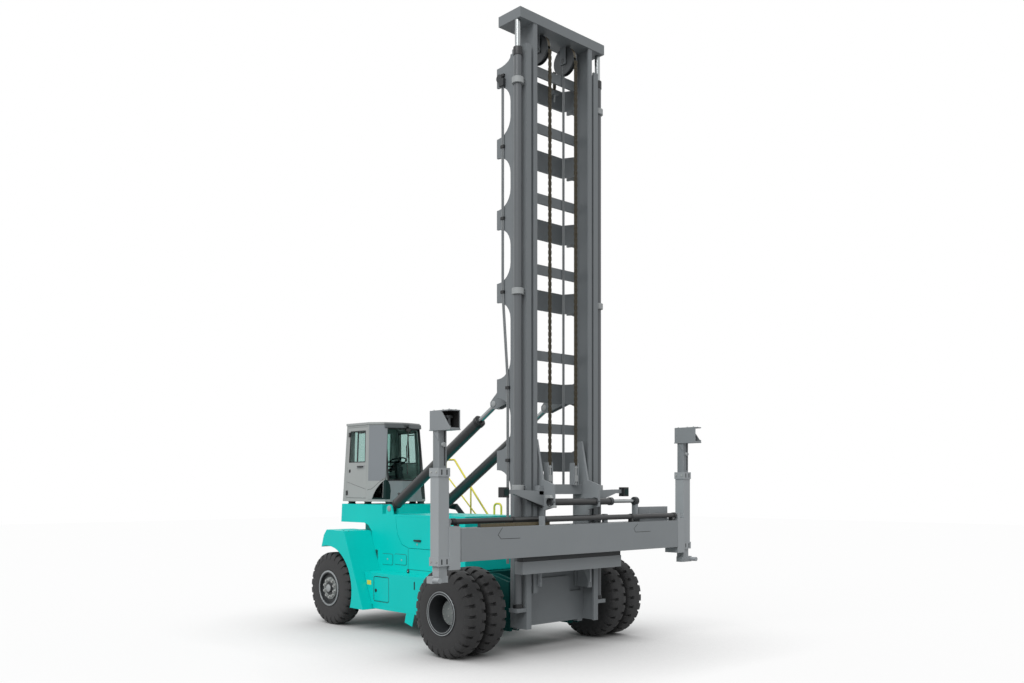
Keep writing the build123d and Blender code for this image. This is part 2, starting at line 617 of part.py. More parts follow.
# Outer mast
BEAM_BACK_Y = MAST_BACK + 310
beam_inner = [
    (OUTER_X - OUTER_WIDE + 10, MAST_BACK - 10), (OUTER_X - 240, BEAM_BACK_Y - 40), (0, BEAM_BACK_Y - 40),
]
beam_outer = [
    (0, BEAM_BACK_Y), (OUTER_X - 220, BEAM_BACK_Y), (OUTER_X - OUTER_WEB, MAST_BACK + 50),
    (OUTER_X - OUTER_WEB, MAST_BACK - 10),
]
EAR_FOOT = FOOT_Z + FOOT_PLATE


def ear_plate():
    """Side plate behind an upright, scalloped between the cross beams."""
    root, back = MAST_BACK + 40, MAST_BACK + EAR_LONG
    points = [(MAST_BACK, EAR_FOOT), (root, EAR_FOOT)]
    for middle in OUTER_BEAM_Z:
        arc = [radians(a) for a in range(0, 91, 15)]
        rise = [(root + EAR_FILLET * (1 - cos(a)), sin(a)) for a in arc]
        points += [(y, middle - EAR_HALF - EAR_FILLET * (1 - s)) for y, s in rise]
        points += [(back, middle - EAR_HALF), (back, middle + EAR_HALF)]
        reach = min(EAR_FILLET, OUTER_TOP - 80 - middle - EAR_HALF)
        points += [(y, middle + EAR_HALF + reach * (1 - s)) for y, s in reversed(rise)]
    points += [(root, OUTER_TOP - 60), (MAST_BACK, OUTER_TOP - 60)]
    return slab(points, (OUTER_X - OUTER_WEB, OUTER_X))


pivot_lug = [
    (MAST_BACK - 20, PIVOT_Z - 80), (PIVOT_Y - 30, PIVOT_Z - 83), (PIVOT_Y + 40, PIVOT_Z - 75),
    (PIVOT_Y + 82, PIVOT_Z - 25), (PIVOT_Y + 82, PIVOT_Z + 25), (PIVOT_Y + 40, PIVOT_Z + 75),
    (PIVOT_Y - 30, PIVOT_Z + 83), (MAST_BACK + 20, PIVOT_Z + 140), (MAST_BACK - 20, PIVOT_Z + 180),
]
LUG_X = (CHEEK_INNER[1] + 12, CHEEK_OUTER[0] - 12)
rail_z = (FOOT_Z, OUTER_TOP)
outer_half = [
    block((OUTER_X - OUTER_WEB, OUTER_X), (MAST_FRONT, MAST_BACK), rail_z),
    block((OUTER_X - OUTER_WIDE, OUTER_X), (MAST_FRONT, MAST_FRONT + FLANGE), rail_z),
    block((OUTER_X - OUTER_WIDE, OUTER_X), (MAST_BACK - FLANGE, MAST_BACK), rail_z),
    block((LUG_X[0] - 2, LUG_X[1] + 12), (MAST_BACK - FLANGE, MAST_BACK), (PIVOT_Z - 80, LIFT_FOOT)),
    slab(pivot_lug, LUG_X) - across(PIVOT_Y, PIVOT_Z, (600, 800), PIVOT_RADIUS + RUNNING_GAP),
    block((0, OUTER_X - 60), (MAST_BACK - FLANGE, MAST_BACK + 10), (FOOT_Z, FOOT_Z + 485)),
    block((0, OUTER_X), (MAST_BACK + 5, MAST_BACK + 40), (FOOT_Z, FOOT_Z + FOOT_PLATE)),
    block((OUTER_X - 10, LIFT_X + 100), around(LIFT_Y, 95), (LIFT_FOOT - 60, LIFT_FOOT)),
]
for middle in OUTER_BEAM_Z:
    outer_half.append(deck(beam_outer + beam_inner, around(middle, BEAM_TALL / 2)))
for share in LIFT_CLAMP_SHARES:
    middle = FOOT_Z + share * MAST_TALL
    clamp = upright(LIFT_X, LIFT_Y, around(middle, 45), LIFT_RADIUS + 28)
    arm = block((OUTER_X - 10, LIFT_X), around(LIFT_Y, 50), around(middle, 40))
    hole = upright(LIFT_X, LIFT_Y, around(middle, 60), LIFT_RADIUS + RUNNING_GAP)
    outer_half.append(clamp + arm - hole)
SHELF_Z = OUTER_BEAM_Z[-1] + 60
outer_half.append(block(around(CHAIN_X, 60), (FALL_REAR - 25, BEAM_BACK_Y - 30), (SHELF_Z - 60, SHELF_Z)))
node("outer_mast", joined(fuse(outer_half)))
node("mast_side_plates", both(ear_plate()))

lug_beam = OUTER_BEAM_Z[1]
eye_lug = [
    (MAST_BACK + 110, lug_beam + 160), (BEAM_BACK_Y, lug_beam + 160), (EYE_Y + 30, EYE_Z + 85),
    (EYE_Y + 85, EYE_Z + 30), (EYE_Y + 85, EYE_Z - 30), (EYE_Y + 30, EYE_Z - 85),
    (EYE_Y - 60, EYE_Z - 85), (MAST_BACK + 110, lug_beam - 160),
]
lugs = slab(eye_lug, LUG_INNER) + slab(eye_lug, LUG_OUTER) + across(EYE_Y, EYE_Z, LUG_SPAN, EYE_PIN)
beam_core = deck(beam_outer + [(0, MAST_BACK - 10)], around(lug_beam, BEAM_TALL / 2))
node("tilt_lugs", both(lugs - beam_core))

lift_barrel = upright(LIFT_X, LIFT_Y, (LIFT_FOOT, LIFT_TOP), LIFT_RADIUS)
lift_bore = upright(LIFT_X, LIFT_Y, (LIFT_FOOT + 100, LIFT_TOP + 150), LIFT_ROD_RADIUS + 7)
node("lift_barrels", both(lift_barrel - lift_bore))

# Inner mast
inner_z = (INNER_FOOT, INNER_TOP)
inner_half = [
    block((INNER_X - FLANGE, INNER_X), (MAST_FRONT, MAST_BACK), inner_z),
    block((INNER_X - INNER_WIDE, INNER_X), (MAST_FRONT, MAST_FRONT + FLANGE), inner_z),
    block((INNER_X - INNER_WIDE, INNER_X), (MAST_BACK - FLANGE, MAST_BACK), inner_z),
    block((0, LIFT_X + 50), (MAST_FRONT - 10, MAST_BACK + 160), (INNER_TOP, INNER_TOP + TOP_BEAM_TALL)),
]
for middle in INNER_BAR_Z:
    bar_x = (0, INNER_X - INNER_WIDE + 20)
    inner_half.append(block(bar_x, (MAST_BACK - FLANGE, MAST_BACK), around(middle, 80)))
for z in (INNER_FOOT + 150, INNER_FOOT + 980):
    inner_half.append(across(ROLLER_Y, z, (INNER_X - 5, OUTER_X - OUTER_WEB - 10), ROLLER_RADIUS))
cheek_near = SHEAVE_WIDE / 2 + 5
for x in (CHAIN_X - cheek_near - 15, CHAIN_X + cheek_near):
    inner_half.append(block((x, x + 15), around(SHEAVE_Y, 60), (SHEAVE_Z - 60, INNER_TOP)))
inner_mast = joined(fuse(inner_half))
for x in (-CHAIN_X, CHAIN_X):
    inner_mast = inner_mast - across(SHEAVE_Y, SHEAVE_Z, around(x, SHEAVE_WIDE), SHEAVE_PIN)
node("inner_mast", inner_mast)

node("lift_rods", both(upright(LIFT_X, LIFT_Y, (LIFT_FOOT + 1000, INNER_TOP), LIFT_ROD_RADIUS)))

sheave = across(SHEAVE_Y, SHEAVE_Z, around(CHAIN_X, SHEAVE_WIDE / 2), SHEAVE_RADIUS)
sheave_pin = across(SHEAVE_Y, SHEAVE_Z, around(CHAIN_X, cheek_near + 19), SHEAVE_PIN - RUNNING_GAP)
node("sheaves", both(sheave + sheave_pin))

CHAIN_LOW = BEAM_TOP + 930
chain_x = around(CHAIN_X, CHAIN_WIDE / 2)
front_fall = block(chain_x, (FALL_FRONT - CHAIN_DEEP, FALL_FRONT - RUNNING_GAP), (CHAIN_LOW, SHEAVE_Z))
node("lift_chains", both(front_fall))
rear_fall = block(chain_x, (FALL_REAR + 5, FALL_REAR + 5 + CHAIN_DEEP), (SHELF_Z, SHEAVE_Z - 20))
node("anchor_chains", both(rear_fall))

# Tilt cylinders
run_y, run_z = EYE_Y - TAIL_Y, EYE_Z - TAIL_Z
TILT_LENGTH = hypot(run_y, run_z)
GLAND = TILT_LENGTH - 485


def along_tilt(distance):
    """Point on a tilt cylinder's line, measured from its tail."""
    share = distance / TILT_LENGTH
    return (TILT_X, TAIL_Y + run_y * share, TAIL_Z + run_z * share)


eye_half = LUG_GAP - 4
tilt_barrel = bar(along_tilt(170), along_tilt(GLAND), TILT_RADIUS)
tilt_barrel = tilt_barrel + bar(along_tilt(20), along_tilt(200), eye_half - 2)
tilt_barrel = tilt_barrel + across(TAIL_Y, TAIL_Z, around(TILT_X, eye_half), TAIL_PIN + 33)
tilt_barrel = tilt_barrel - bar(along_tilt(300), along_tilt(GLAND + 50), TILT_ROD_RADIUS + RUNNING_GAP)
tilt_barrel = tilt_barrel - across(TAIL_Y, TAIL_Z, around(TILT_X, 200), TAIL_PIN + RUNNING_GAP)
node("tilt_barrel_left", tilt_barrel)
node("tilt_barrel_right", other_side(tilt_barrel))
tilt_rod = bar(along_tilt(700), along_tilt(TILT_LENGTH - 60), TILT_ROD_RADIUS)
tilt_rod = tilt_rod + across(EYE_Y, EYE_Z, around(TILT_X, LUG_GAP - 8), EYE_PIN + 44)
tilt_rod = tilt_rod - across(EYE_Y, EYE_Z, around(TILT_X, 200), EYE_PIN + 8)
node("tilt_rod_left", tilt_rod)
node("tilt_rod_right", other_side(tilt_rod))

# Carriage
CHEEK_X = (500, 540)
cheek_back = MAST_BACK - 65
cheek_plate = [
    (cheek_back, BEAM_LOW - 255), (cheek_back, BEAM_TOP + 680), (ROLLER_Y + 5, BEAM_TOP + 1340),
    (ROLLER_Y - 90, BEAM_TOP + 1340), (BEAM_BACK + 40, BEAM_TOP + 700), (SHIFT_Y - 65, BEAM_TOP + 620),
    (SHIFT_Y - 65, SHIFT_Z - 80), (BEAM_BACK + 10, BEAM_TOP + 220), (BEAM_BACK + 10, BEAM_LOW - 85),
    (BEAM_BACK - 135, BEAM_LOW - 85), (BEAM_BACK - 135, BEAM_LOW - 255),
]
lamp_arm = [
    (CHEEK_X[1] - 20, BEAM_TOP + 280), (1180, BEAM_TOP + 480), (1440, BEAM_TOP + 480), (1440, BEAM_TOP + 545),
    (1150, BEAM_TOP + 545), (CHEEK_X[1] - 20, BEAM_TOP + 520),
]
arm_face = make_face(Polyline(*[(x, BEAM_BACK + 10, z) for x, z in lamp_arm], close=True))
arm_plate = extrude(arm_face, amount=60, dir=(0, 1, 0))
chain_anchor_y = (FALL_FRONT - CHAIN_DEEP, FALL_FRONT + 70)
carriage_half = [
    slab(cheek_plate, CHEEK_X) - across(SHIFT_Y, SHIFT_Z, (400, 600), SHIFT_RADIUS + RUNNING_GAP),
    block((0, 1140), (BEAM_BACK - 140, BEAM_BACK + 40), (BEAM_LOW - 275, BEAM_LOW - 85)),
    block((0, 520), (cheek_back - 200, cheek_back - 5), (BEAM_TOP + 470, BEAM_TOP + 630)),
    block((0, 520), (cheek_back - 200, cheek_back - 5), (BEAM_LOW - 245, BEAM_LOW - 85)),
    arm_plate,
    block((1330, 1450), (BEAM_BACK - 40, BEAM_BACK + 70), (BEAM_TOP + 430, BEAM_TOP + 580)),
    block((300, 480), (BEAM_BACK - 130, BEAM_BACK - 20), (BEAM_LOW - 90, BEAM_LOW - RUNNING_GAP)),
    block((820, 1000), (BEAM_BACK - 130, BEAM_BACK - 20), (BEAM_LOW - 90, BEAM_LOW - RUNNING_GAP)),
    block((CHAIN_X - 55, CHAIN_X - 36), chain_anchor_y, (BEAM_TOP + 620, CHAIN_LOW + 50)),
    block((CHAIN_X + 36, CHAIN_X + 55), chain_anchor_y, (BEAM_TOP + 620, CHAIN_LOW + 50)),
]
for z in (BEAM_LOW - 115, BEAM_TOP + 380):
    carriage_half.append(across(ROLLER_Y, z, (CHEEK_X[1] - 10, INNER_X - 45), ROLLER_RADIUS))
node("carriage_frame", joined(fuse(carriage_half)))

shift_barrel = across(SHIFT_Y, SHIFT_Z, (-540, 860), SHIFT_RADIUS)
shift_barrel = shift_barrel - across(SHIFT_Y, SHIFT_Z, (-400, 900), SHIFT_ROD + RUNNING_GAP)
node("side_shift_barrel", shift_barrel)

# Spreader
middle_y = (BEAM_FRONT + BEAM_BACK) / 2
FRONT_CELL = (BEAM_FRONT + PLATE, middle_y - PLATE / 2)
REAR_CELL = (middle_y + PLATE / 2, BEAM_BACK - PLATE)
CELL_Z = (BEAM_LOW + PLATE, BEAM_TOP - PLATE)
FRONT_BARREL_Y, REAR_BARREL_Y = BEAM_FRONT + 60, BEAM_BACK - 50
ANCHOR_X = 800
spreader = block((-BEAM_X, BEAM_X), (BEAM_FRONT, BEAM_BACK), (BEAM_LOW, BEAM_TOP))
for cell in (FRONT_CELL, REAR_CELL):
    spreader = spreader - block((-BEAM_X - 10, BEAM_X + 10), cell, CELL_Z)
anchor_z = (BEAM_TOP - 5, TELESCOPE_Z + 50)
spreader = fuse([
    spreader,
    block((1470, 1530), around(SHIFT_Y, 45), (BEAM_TOP - 5, SHIFT_Z + 60)),
    across(SHIFT_Y, SHIFT_Z, (150, 1500), SHIFT_ROD),
    block((ANCHOR_X, ANCHOR_X + 60), around(REAR_BARREL_Y, 40), anchor_z),
    block((-ANCHOR_X - 60, -ANCHOR_X), around(FRONT_BARREL_Y, 40), anchor_z),
    block((BEAM_X - 880, BEAM_X - 60), (BEAM_BACK - 120, BEAM_BACK - 20), (BEAM_TOP - 5, BEAM_TOP + 245)),
])
node("spreader_beam", spreader)

BARREL_END = BEAM_X - 10


def telescope(barrel_y, side):
    """Barrel of one telescope cylinder on its two saddles (side +1 opens left, -1 right)."""
    def span(near, far):
        return (near, far) if side > 0 else (-far, -near)

    barrel = across(barrel_y, TELESCOPE_Z, span(-ANCHOR_X, BARREL_END), TELESCOPE_RADIUS)
    bore = across(barrel_y, TELESCOPE_Z, span(10 - ANCHOR_X, BARREL_END + 20), TELESCOPE_ROD + RUNNING_GAP)
    barrel = barrel - bore
    for x in (BARREL_END - 1220, BARREL_END - 120):
        barrel = barrel + block(span(x, x + 40), around(barrel_y, 40), (BEAM_TOP, TELESCOPE_Z - 30))
    return barrel


energy_chain = block((450 - BEAM_X, -600), around(middle_y, 30), (BEAM_TOP, BEAM_TOP + 45))
barrels = [telescope(REAR_BARREL_Y, -1), telescope(FRONT_BARREL_Y, 1), energy_chain]
node("telescope_barrels", Compound(children=barrels))


def arm(cell, barrel_y, side):
    """Telescopic arm with its end plate, leg tube and twistlock foot (side +1 left, -1 right)."""
    def span(near, far):
        return (near, far) if side > 0 else (-far, -near)

    leg_top, collar = BEAM_TOP + 850, LEG_HALF + 12
    slide_z = (CELL_Z[0] + RUNNING_GAP, CELL_Z[1] - 7)
    hollow_z = (CELL_Z[0] + PLATE, CELL_Z[1] - 7 - PLATE)
    leg_x = span(LEG_X - LEG_HALF, LEG_X + LEG_HALF)
    well_x = span(LEG_X - LEG_HALF + LEG_WALL, LEG_X + LEG_HALF - LEG_WALL)
    well_y = around(LEG_Y, LEG_HALF - LEG_WALL)
    collar_x = span(LEG_X - collar, LEG_X + collar)
    foot_x = span(LEG_X - 100, TWISTLOCK_X + LOCK_RADIUS)
    foot_front, lock_z = LEG_Y - 62, BEAM_LOW - 232
    lock_end = foot_front - LOCK_LONG
    end_y = (BEAM_FRONT + 10, BEAM_BACK - 10)
    tube = block(span(500 - BEAM_X, BEAM_X + 20), (cell[0] + 6, cell[1] - 6), slide_z)
    bore = block(span(490 - BEAM_X, BEAM_X), (cell[0] + 16, cell[1] - 16), hollow_z)
    whole = fuse([
        tube - bore,
        block(span(BEAM_X + 15, LEG_X - 90), end_y, (BEAM_LOW - 105, BEAM_TOP + 30)),
        block(span(BEAM_X + 30, BEAM_X + 90), around(barrel_y, 40), (BEAM_TOP + 20, TELESCOPE_Z + 45)),
        across(barrel_y, TELESCOPE_Z, span(20 - ANCHOR_X, BEAM_X + 60), TELESCOPE_ROD),
        block(leg_x, around(LEG_Y, LEG_HALF), (BEAM_LOW - 45, leg_top)),
        block(collar_x, around(LEG_Y, collar), (BEAM_LOW - 45, BEAM_LOW + 75)),
        block(collar_x, around(LEG_Y, collar), (leg_top - 120, leg_top)),
        block(well_x, well_y, (BEAM_LOW - 275, BEAM_LOW - 35)),
        block(foot_x, (foot_front, LEG_Y + 62), (BEAM_LOW - 280, BEAM_LOW - 185)),
        bar((side * TWISTLOCK_X, foot_front + 10, lock_z), (side * TWISTLOCK_X, lock_end, lock_z), LOCK_RADIUS),
    ])
    return whole - block(well_x, well_y, (BEAM_TOP - 120, leg_top + 30))


node("arm_right", arm(FRONT_CELL, REAR_BARREL_Y, -1))
node("arm_left", arm(REAR_CELL, FRONT_BARREL_Y, 1))


def head(side):
    """Upper hook box on the stem that slides in a leg."""
    x = side * LEG_X
    stem_half = LEG_HALF - LEG_WALL - 5
    low, top = BEAM_TOP + 1380, BEAM_TOP + 1645
    front = LEG_Y - LEG_HALF - 245
    stem_y = (LEG_Y - stem_half - 5 + RUNNING_GAP, LEG_Y + stem_half)
    stem = block(around(x, stem_half), stem_y, (BEAM_TOP - 20, low + 20))
    case = block(around(x, LEG_HALF), (front, LEG_Y + 110), (low, top))
    space = block(around(x, LEG_HALF - 18), (front - 75, LEG_Y - 120), (low + 18, top - 18))
    cut = [(front - 10, top - 18), (front - 10, low + 40), (front + 25, low + 40), (LEG_Y - 150, top - 18)]
    corner = slab(cut, around(x + side * (LEG_HALF - 4), 14.5))
    return stem + (case - space - corner)


node("head_right", head(-1))
node("head_left", head(1))

os.makedirs("parts", exist_ok=True)
for name, shape in NODES.items():
    export_step(Pos(0, -CENTRE_Y, 0) * shape, f"parts/{name}.step")
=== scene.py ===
"""Empty container handler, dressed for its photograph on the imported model."""
import json
from math import atan2, cos, hypot, pi, radians, sin

import bmesh
import bpy
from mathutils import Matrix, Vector


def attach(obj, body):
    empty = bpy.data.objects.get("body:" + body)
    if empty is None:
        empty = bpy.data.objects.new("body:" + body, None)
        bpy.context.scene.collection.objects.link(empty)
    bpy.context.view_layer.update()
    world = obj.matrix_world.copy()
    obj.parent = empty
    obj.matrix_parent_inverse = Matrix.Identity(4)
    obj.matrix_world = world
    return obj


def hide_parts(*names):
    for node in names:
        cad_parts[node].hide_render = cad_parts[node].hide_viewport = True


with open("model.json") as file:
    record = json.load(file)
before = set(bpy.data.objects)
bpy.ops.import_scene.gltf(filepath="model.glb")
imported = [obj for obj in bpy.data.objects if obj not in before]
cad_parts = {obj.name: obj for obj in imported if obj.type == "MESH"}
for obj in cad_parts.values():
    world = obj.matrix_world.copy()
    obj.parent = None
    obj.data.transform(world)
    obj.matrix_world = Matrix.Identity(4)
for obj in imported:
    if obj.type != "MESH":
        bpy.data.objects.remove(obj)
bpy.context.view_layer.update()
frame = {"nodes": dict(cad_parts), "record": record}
nodes = frame["nodes"]
record = frame["record"]
BODY_OF = {}
for body_name, members in record["behaviour"]["bodies"].items():
    for member in members:
        BODY_OF[member] = body_name
SLOT_OF = {part["node"]: part["material_slot"] for part in record["subparts"]}

# Machine sizes in mm, as in the part's source; Y from the front axle
CENTRE_Y = 1906.5
WHEELBASE, AXLE_Z = 4350, 685
TWIN_INNER_X, TWIN_OUTER_X, REAR_TYRE_X = 1400, 1815, 1052
FOOT_Z, MAST_TALL = 395, 9120
UPPER_BEAMS_Z = [FOOT_Z + share * MAST_TALL for share in (0.5838, 0.7123, 0.8376, 0.9614)]
LIFT_X, LIFT_Y, LIFT_TOP, LIFT_FOOT = 923, -570, 9445, 730
PIPE_X, HOSE_Y = 843, -393
CHAIN_X, LIFT_CHAIN_Y, FALL_CHAIN_Y = 300, -655, -170
SHEAVE_Y, SHEAVE_Z = -415, 9640
TILT_X, TAIL_Y, TAIL_Z, EYE_Y, EYE_Z = 590, 3184, 2215, 282, 3975
TILT_MOUTH = 485  # from the eye back to the barrel's mouth
BEAM_FRONT, BEAM_TOP = -1070, 2028
LEG_X, LEG_Y = 2780, -950
SHIFT_Y, SHIFT_Z, TELESCOPE_Z = -910, 2378, 2118
BODY_X, BODY_REAR, BOX_X, BOX_TOP, DECK_TOP = 660, 4792, 1040, 1050, 2285
CAB_FLOOR, CAB_ROOF, CAB_REAR = 2336, 3860, 4745
HANG_LINE = 756  # the mast is hung ahead of this

BOTH_SIDES = (("left", 1), ("right", -1))
SHARP = radians(38)  # edges that turn by more than this stay crisp


# Making meshes

def mm(x, y, z):
    """A point of the machine, in mm, as metres in the row frame."""
    return Vector((x / 1000, (y - CENTRE_Y) / 1000, z / 1000))


def skin(bm, rings):
    """Faces from each ring of corners to the next, with both ends closed."""
    faces = [bm.faces.new(rings[0]), bm.faces.new(rings[-1])]
    for first, second in zip(rings, rings[1:]):
        for i in range(len(first)):
            j = (i + 1) % len(first)
            faces.append(bm.faces.new((first[i], first[j], second[j], second[i])))
    bmesh.ops.recalc_face_normals(bm, faces=faces)


def add_prism(bm, outline, span, axis="X"):
    """Flat outline drawn out along an axis, between the two places in span."""
    order = {
        "X": lambda a, b, c: mm(c, a, b),
        "Y": lambda a, b, c: mm(a, c, b),
        "Z": lambda a, b, c: mm(a, b, c),
    }[axis]
    skin(bm, [[bm.verts.new(order(a, b, c)) for a, b in outline] for c in span])


def add_box(bm, x, y, z):
    """Box from three (low, high) pairs."""
    add_prism(bm, [(y[0], z[0]), (y[1], z[0]), (y[1], z[1]), (y[0], z[1])], x)


def add_turned(bm, start, direction, profile, sides=32, closed=False):
    """Turned shape: (along, radius) points about an axis that leaves start (mm)."""
    axis = Vector(direction).normalized()
    turn = axis.to_track_quat("Z", "Y")
    rows = []
    for along, radius in profile:
        centre = Vector(start) + axis * along
        if radius < 0.01:
            rows.append([bm.verts.new(mm(*centre))])
            continue
        row = []
        for i in range(sides):
            angle = 2 * pi * i / sides
            spoke = turn @ Vector((cos(angle), sin(angle), 0)) * radius
            row.append(bm.verts.new(mm(*(centre + spoke))))
        rows.append(row)
    pairs = list(zip(rows, rows[1:]))
    if closed:
        pairs.append((rows[-1], rows[0]))
    faces = []
    for low, high in pairs:
        for i in range(sides):
            j = (i + 1) % sides
            ring = [low[i % len(low)], low[j % len(low)], high[j % len(high)], high[i % len(high)]]
            corners = list(dict.fromkeys(ring))
            if len(corners) > 2:
                faces.append(bm.faces.new(corners))
    bmesh.ops.recalc_face_normals(bm, faces=faces)


def add_rod(bm, start, end, radius, sides=16):
    """Plain round bar between two points (mm)."""
    run = Vector(end) - Vector(start)
    profile = [(0, 0), (0, radius), (run.length, radius), (run.length, 0)]
    add_turned(bm, start, run, profile, sides)


def as_mesh(bm, name):
    """The gathered shapes as a mesh."""
    mesh = bpy.data.meshes.new(name)
    bm.to_mesh(mesh)
    bm.free()
    return mesh


def hold(data, name="holder"):
    """Put a mesh, a curve, a lamp or a camera into the scene."""
    holder = bpy.data.objects.new(name, data)
    bpy.context.scene.collection.objects.link(holder)
    return holder


def made_real(holder):
    """The plain mesh that a held shape comes to; the holder goes."""
    bpy.context.view_layer.update()
    graph = bpy.context.evaluated_depsgraph_get()
    mesh = bpy.data.meshes.new_from_object(holder.evaluated_get(graph))
    bpy.data.objects.remove(holder)
    return mesh


def take_in(bm, mesh):
    """Add a mesh to the gathered shapes and drop it."""
    bm.from_mesh(mesh)
    bpy.data.meshes.remove(mesh)


def add_tube(bm, points, radius, fineness, closed=False):
    """Round tube along straight runs (mm)."""
    curve = bpy.data.curves.new("route", "CURVE")
    curve.dimensions = "3D"
    spline = curve.splines.new("POLY")
    spline.points.add(len(points) - 1)
    for knot, place in zip(spline.points, points):
        knot.co = (*mm(*place), 1)
    spline.use_cyclic_u = closed
    curve.bevel_depth = radius / 1000
    curve.bevel_resolution = fineness
    curve.use_fill_caps = True
    take_in(bm, made_real(hold(curve)))
    bpy.data.curves.remove(curve)


def rounded(middle, half, radius, steps=5):
    """Outline of a rectangle with round corners."""
    points = []
    for corner, (sa, sb) in enumerate(((1, 1), (-1, 1), (-1, -1), (1, -1))):
        for step in range(steps + 1):
            angle = pi / 2 * (corner + step / steps)
            a = middle[0] + sa * (half[0] - radius) + radius * cos(angle)
            b = middle[1] + sb * (half[1] - radius) + radius * sin(angle)
            points.append((a, b))
    return points


def bevelled(mesh, width, segments):
    """The mesh with its hard edges rounded by width mm, as a new mesh."""
    holder = hold(mesh)
    bevel = holder.modifiers.new("edges", "BEVEL")
    bevel.width = width / 1000
    bevel.segments = segments
    bevel.limit_method = "ANGLE"
    bevel.angle_limit = SHARP
    bevel.harden_normals = True
    result = made_real(holder)
    bpy.data.meshes.remove(mesh)
    return result


def settle(name, mesh, material, body, stands_for=()):
    """Make a mesh a piece that rides on a body and takes a finish."""
    mesh.name = name
    mesh.materials.clear()
    mesh.materials.append(material)
    piece = hold(mesh, name)
    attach(piece, body)
    if stands_for:
        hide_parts(*stands_for)
    return piece


def finish(name, bm, material, body, stands_for=(), bevel=0.0, segments=2):
    """Turn gathered shapes into one piece."""
    mesh = as_mesh(bm, name)
    mesh.polygons.foreach_set("use_smooth", [True] * len(mesh.polygons))
    mesh.set_sharp_from_angle(angle=SHARP)
    if bevel:
        mesh = bevelled(mesh, bevel, segments)
    return settle(name, mesh, material, body, stands_for)


def soften(node, material, width):
    """A CAD node with its hard edges rounded, standing in for it."""
    bm = bmesh.new()
    bm.from_mesh(nodes[node].data)
    bmesh.ops.remove_doubles(bm, verts=bm.verts, dist=0.00003)
    bmesh.ops.dissolve_limit(bm, angle_limit=radians(1), verts=bm.verts, edges=bm.edges)
    return finish("soft_" + node, bm, material, BODY_OF[node], (node,), width)


# Repeating shapes with geometry nodes

def add(tree, kind, inputs=None, **settings):
    """Add one node, with its settings, and set or link its inputs."""
    made = tree.nodes.new(kind)
    for name, value in settings.items():
        setattr(made, name, value)
    for key, value in (inputs or {}).items():
        if isinstance(value, bpy.types.NodeSocket):
            tree.links.new(value, made.inputs[key])
        else:
            made.inputs[key].default_value = value
    return made


def new_tree(name, **sockets):
    """Empty geometry tree with named inputs; gives the tree and its input node's sockets."""
    tree = bpy.data.node_groups.new(name, "GeometryNodeTree")
    for label, kind in sockets.items():
        tree.interface.new_socket(label, in_out="INPUT", socket_type="NodeSocket" + kind)
    tree.interface.new_socket("Geometry", in_out="OUTPUT", socket_type="NodeSocketGeometry")
    return tree, add(tree, "NodeGroupInput").outputs


def close_tree(tree, points, unit, turn):
    """Instance the unit on the points and make the copies real."""
    placed = add(tree, "GeometryNodeInstanceOnPoints", {
        "Points": points, "Instance": unit, "Rotation": turn,
    })
    real = add(tree, "GeometryNodeRealizeInstances", {"Geometry": placed.outputs["Instances"]})
    add(tree, "NodeGroupOutput", {0: real.outputs[0]})
    return tree


def copies_tree():
    """Copies of a unit, each a step on from the last and turned further about X."""
    tree, given = new_tree("copies", Unit="Geometry", Count="Int", First="Vector", Step="Vector",
                           Start="Float", Turn="Float")
    line = add(tree, "GeometryNodeMeshLine", {
        "Count": given["Count"], "Start Location": given["First"], "Offset": given["Step"],
    }, mode="OFFSET")
    index = add(tree, "GeometryNodeInputIndex")
    angle = add(tree, "ShaderNodeMath", {
        0: index.outputs[0], 1: given["Turn"], 2: given["Start"],
    }, operation="MULTIPLY_ADD")
    euler = add(tree, "ShaderNodeCombineXYZ", {"X": angle.outputs[0]})
    turn = add(tree, "FunctionNodeEulerToRotation", {0: euler.outputs[0]})
    return close_tree(tree, line.outputs[0], given["Unit"], turn.outputs[0])


def bolt_tree():
    """Hexagon bolts with washers on seats that say which way they face."""
    tree, given = new_tree("hex_bolts", Seats="Geometry", Radius="Float", Height="Float")

    def share_of(size, share):
        """A share of one of the bolt's sizes."""
        times = add(tree, "ShaderNodeMath", {0: given[size], 1: share}, operation="MULTIPLY")
        return times.outputs[0]

    head = add(tree, "GeometryNodeMeshCylinder", {
        "Vertices": 6, "Radius": given["Radius"], "Depth": given["Height"],
    })
    washer = add(tree, "GeometryNodeMeshCylinder", {
        "Vertices": 12, "Radius": share_of("Radius", 1.45), "Depth": share_of("Height", 0.5),
    })
    up = add(tree, "ShaderNodeCombineXYZ", {"Z": share_of("Height", 0.6)})
    raised = add(tree, "GeometryNodeTransform", {
        "Geometry": head.outputs[0], "Translation": up.outputs[0],
    })
    both = add(tree, "GeometryNodeJoinGeometry", {0: raised.outputs[0]})
    tree.links.new(washer.outputs[0], both.inputs[0])
    facing = add(tree, "GeometryNodeInputNamedAttribute", {"Name": "facing"}, data_type="FLOAT_VECTOR")
    turn = add(tree, "FunctionNodeAlignRotationToVector", {"Vector": facing.outputs[0]}, axis="Z")
    return close_tree(tree, given["Seats"], both.outputs[0], turn.outputs[0])


COPIES, BOLTS = copies_tree(), bolt_tree()


def grow(tree, mesh, values):
    """Run a geometry tree on a mesh and give the plain mesh that comes out."""
    holder = hold(mesh)
    modifier = holder.modifiers.new("grow", "NODES")
    modifier.node_group = tree
    for item in tree.interface.items_tree:
        if item.in_out == "INPUT" and item.name in values:
            modifier[item.identifier] = values[item.name]
    result = made_real(holder)
    bpy.data.meshes.remove(mesh)
    return result


def unit_mesh(bm):
    """A gathered shape as the unit of a tree, measured from its own centre."""
    bmesh.ops.translate(bm, vec=(0, CENTRE_Y / 1000, 0), verts=bm.verts)
    return as_mesh(bm, "unit")


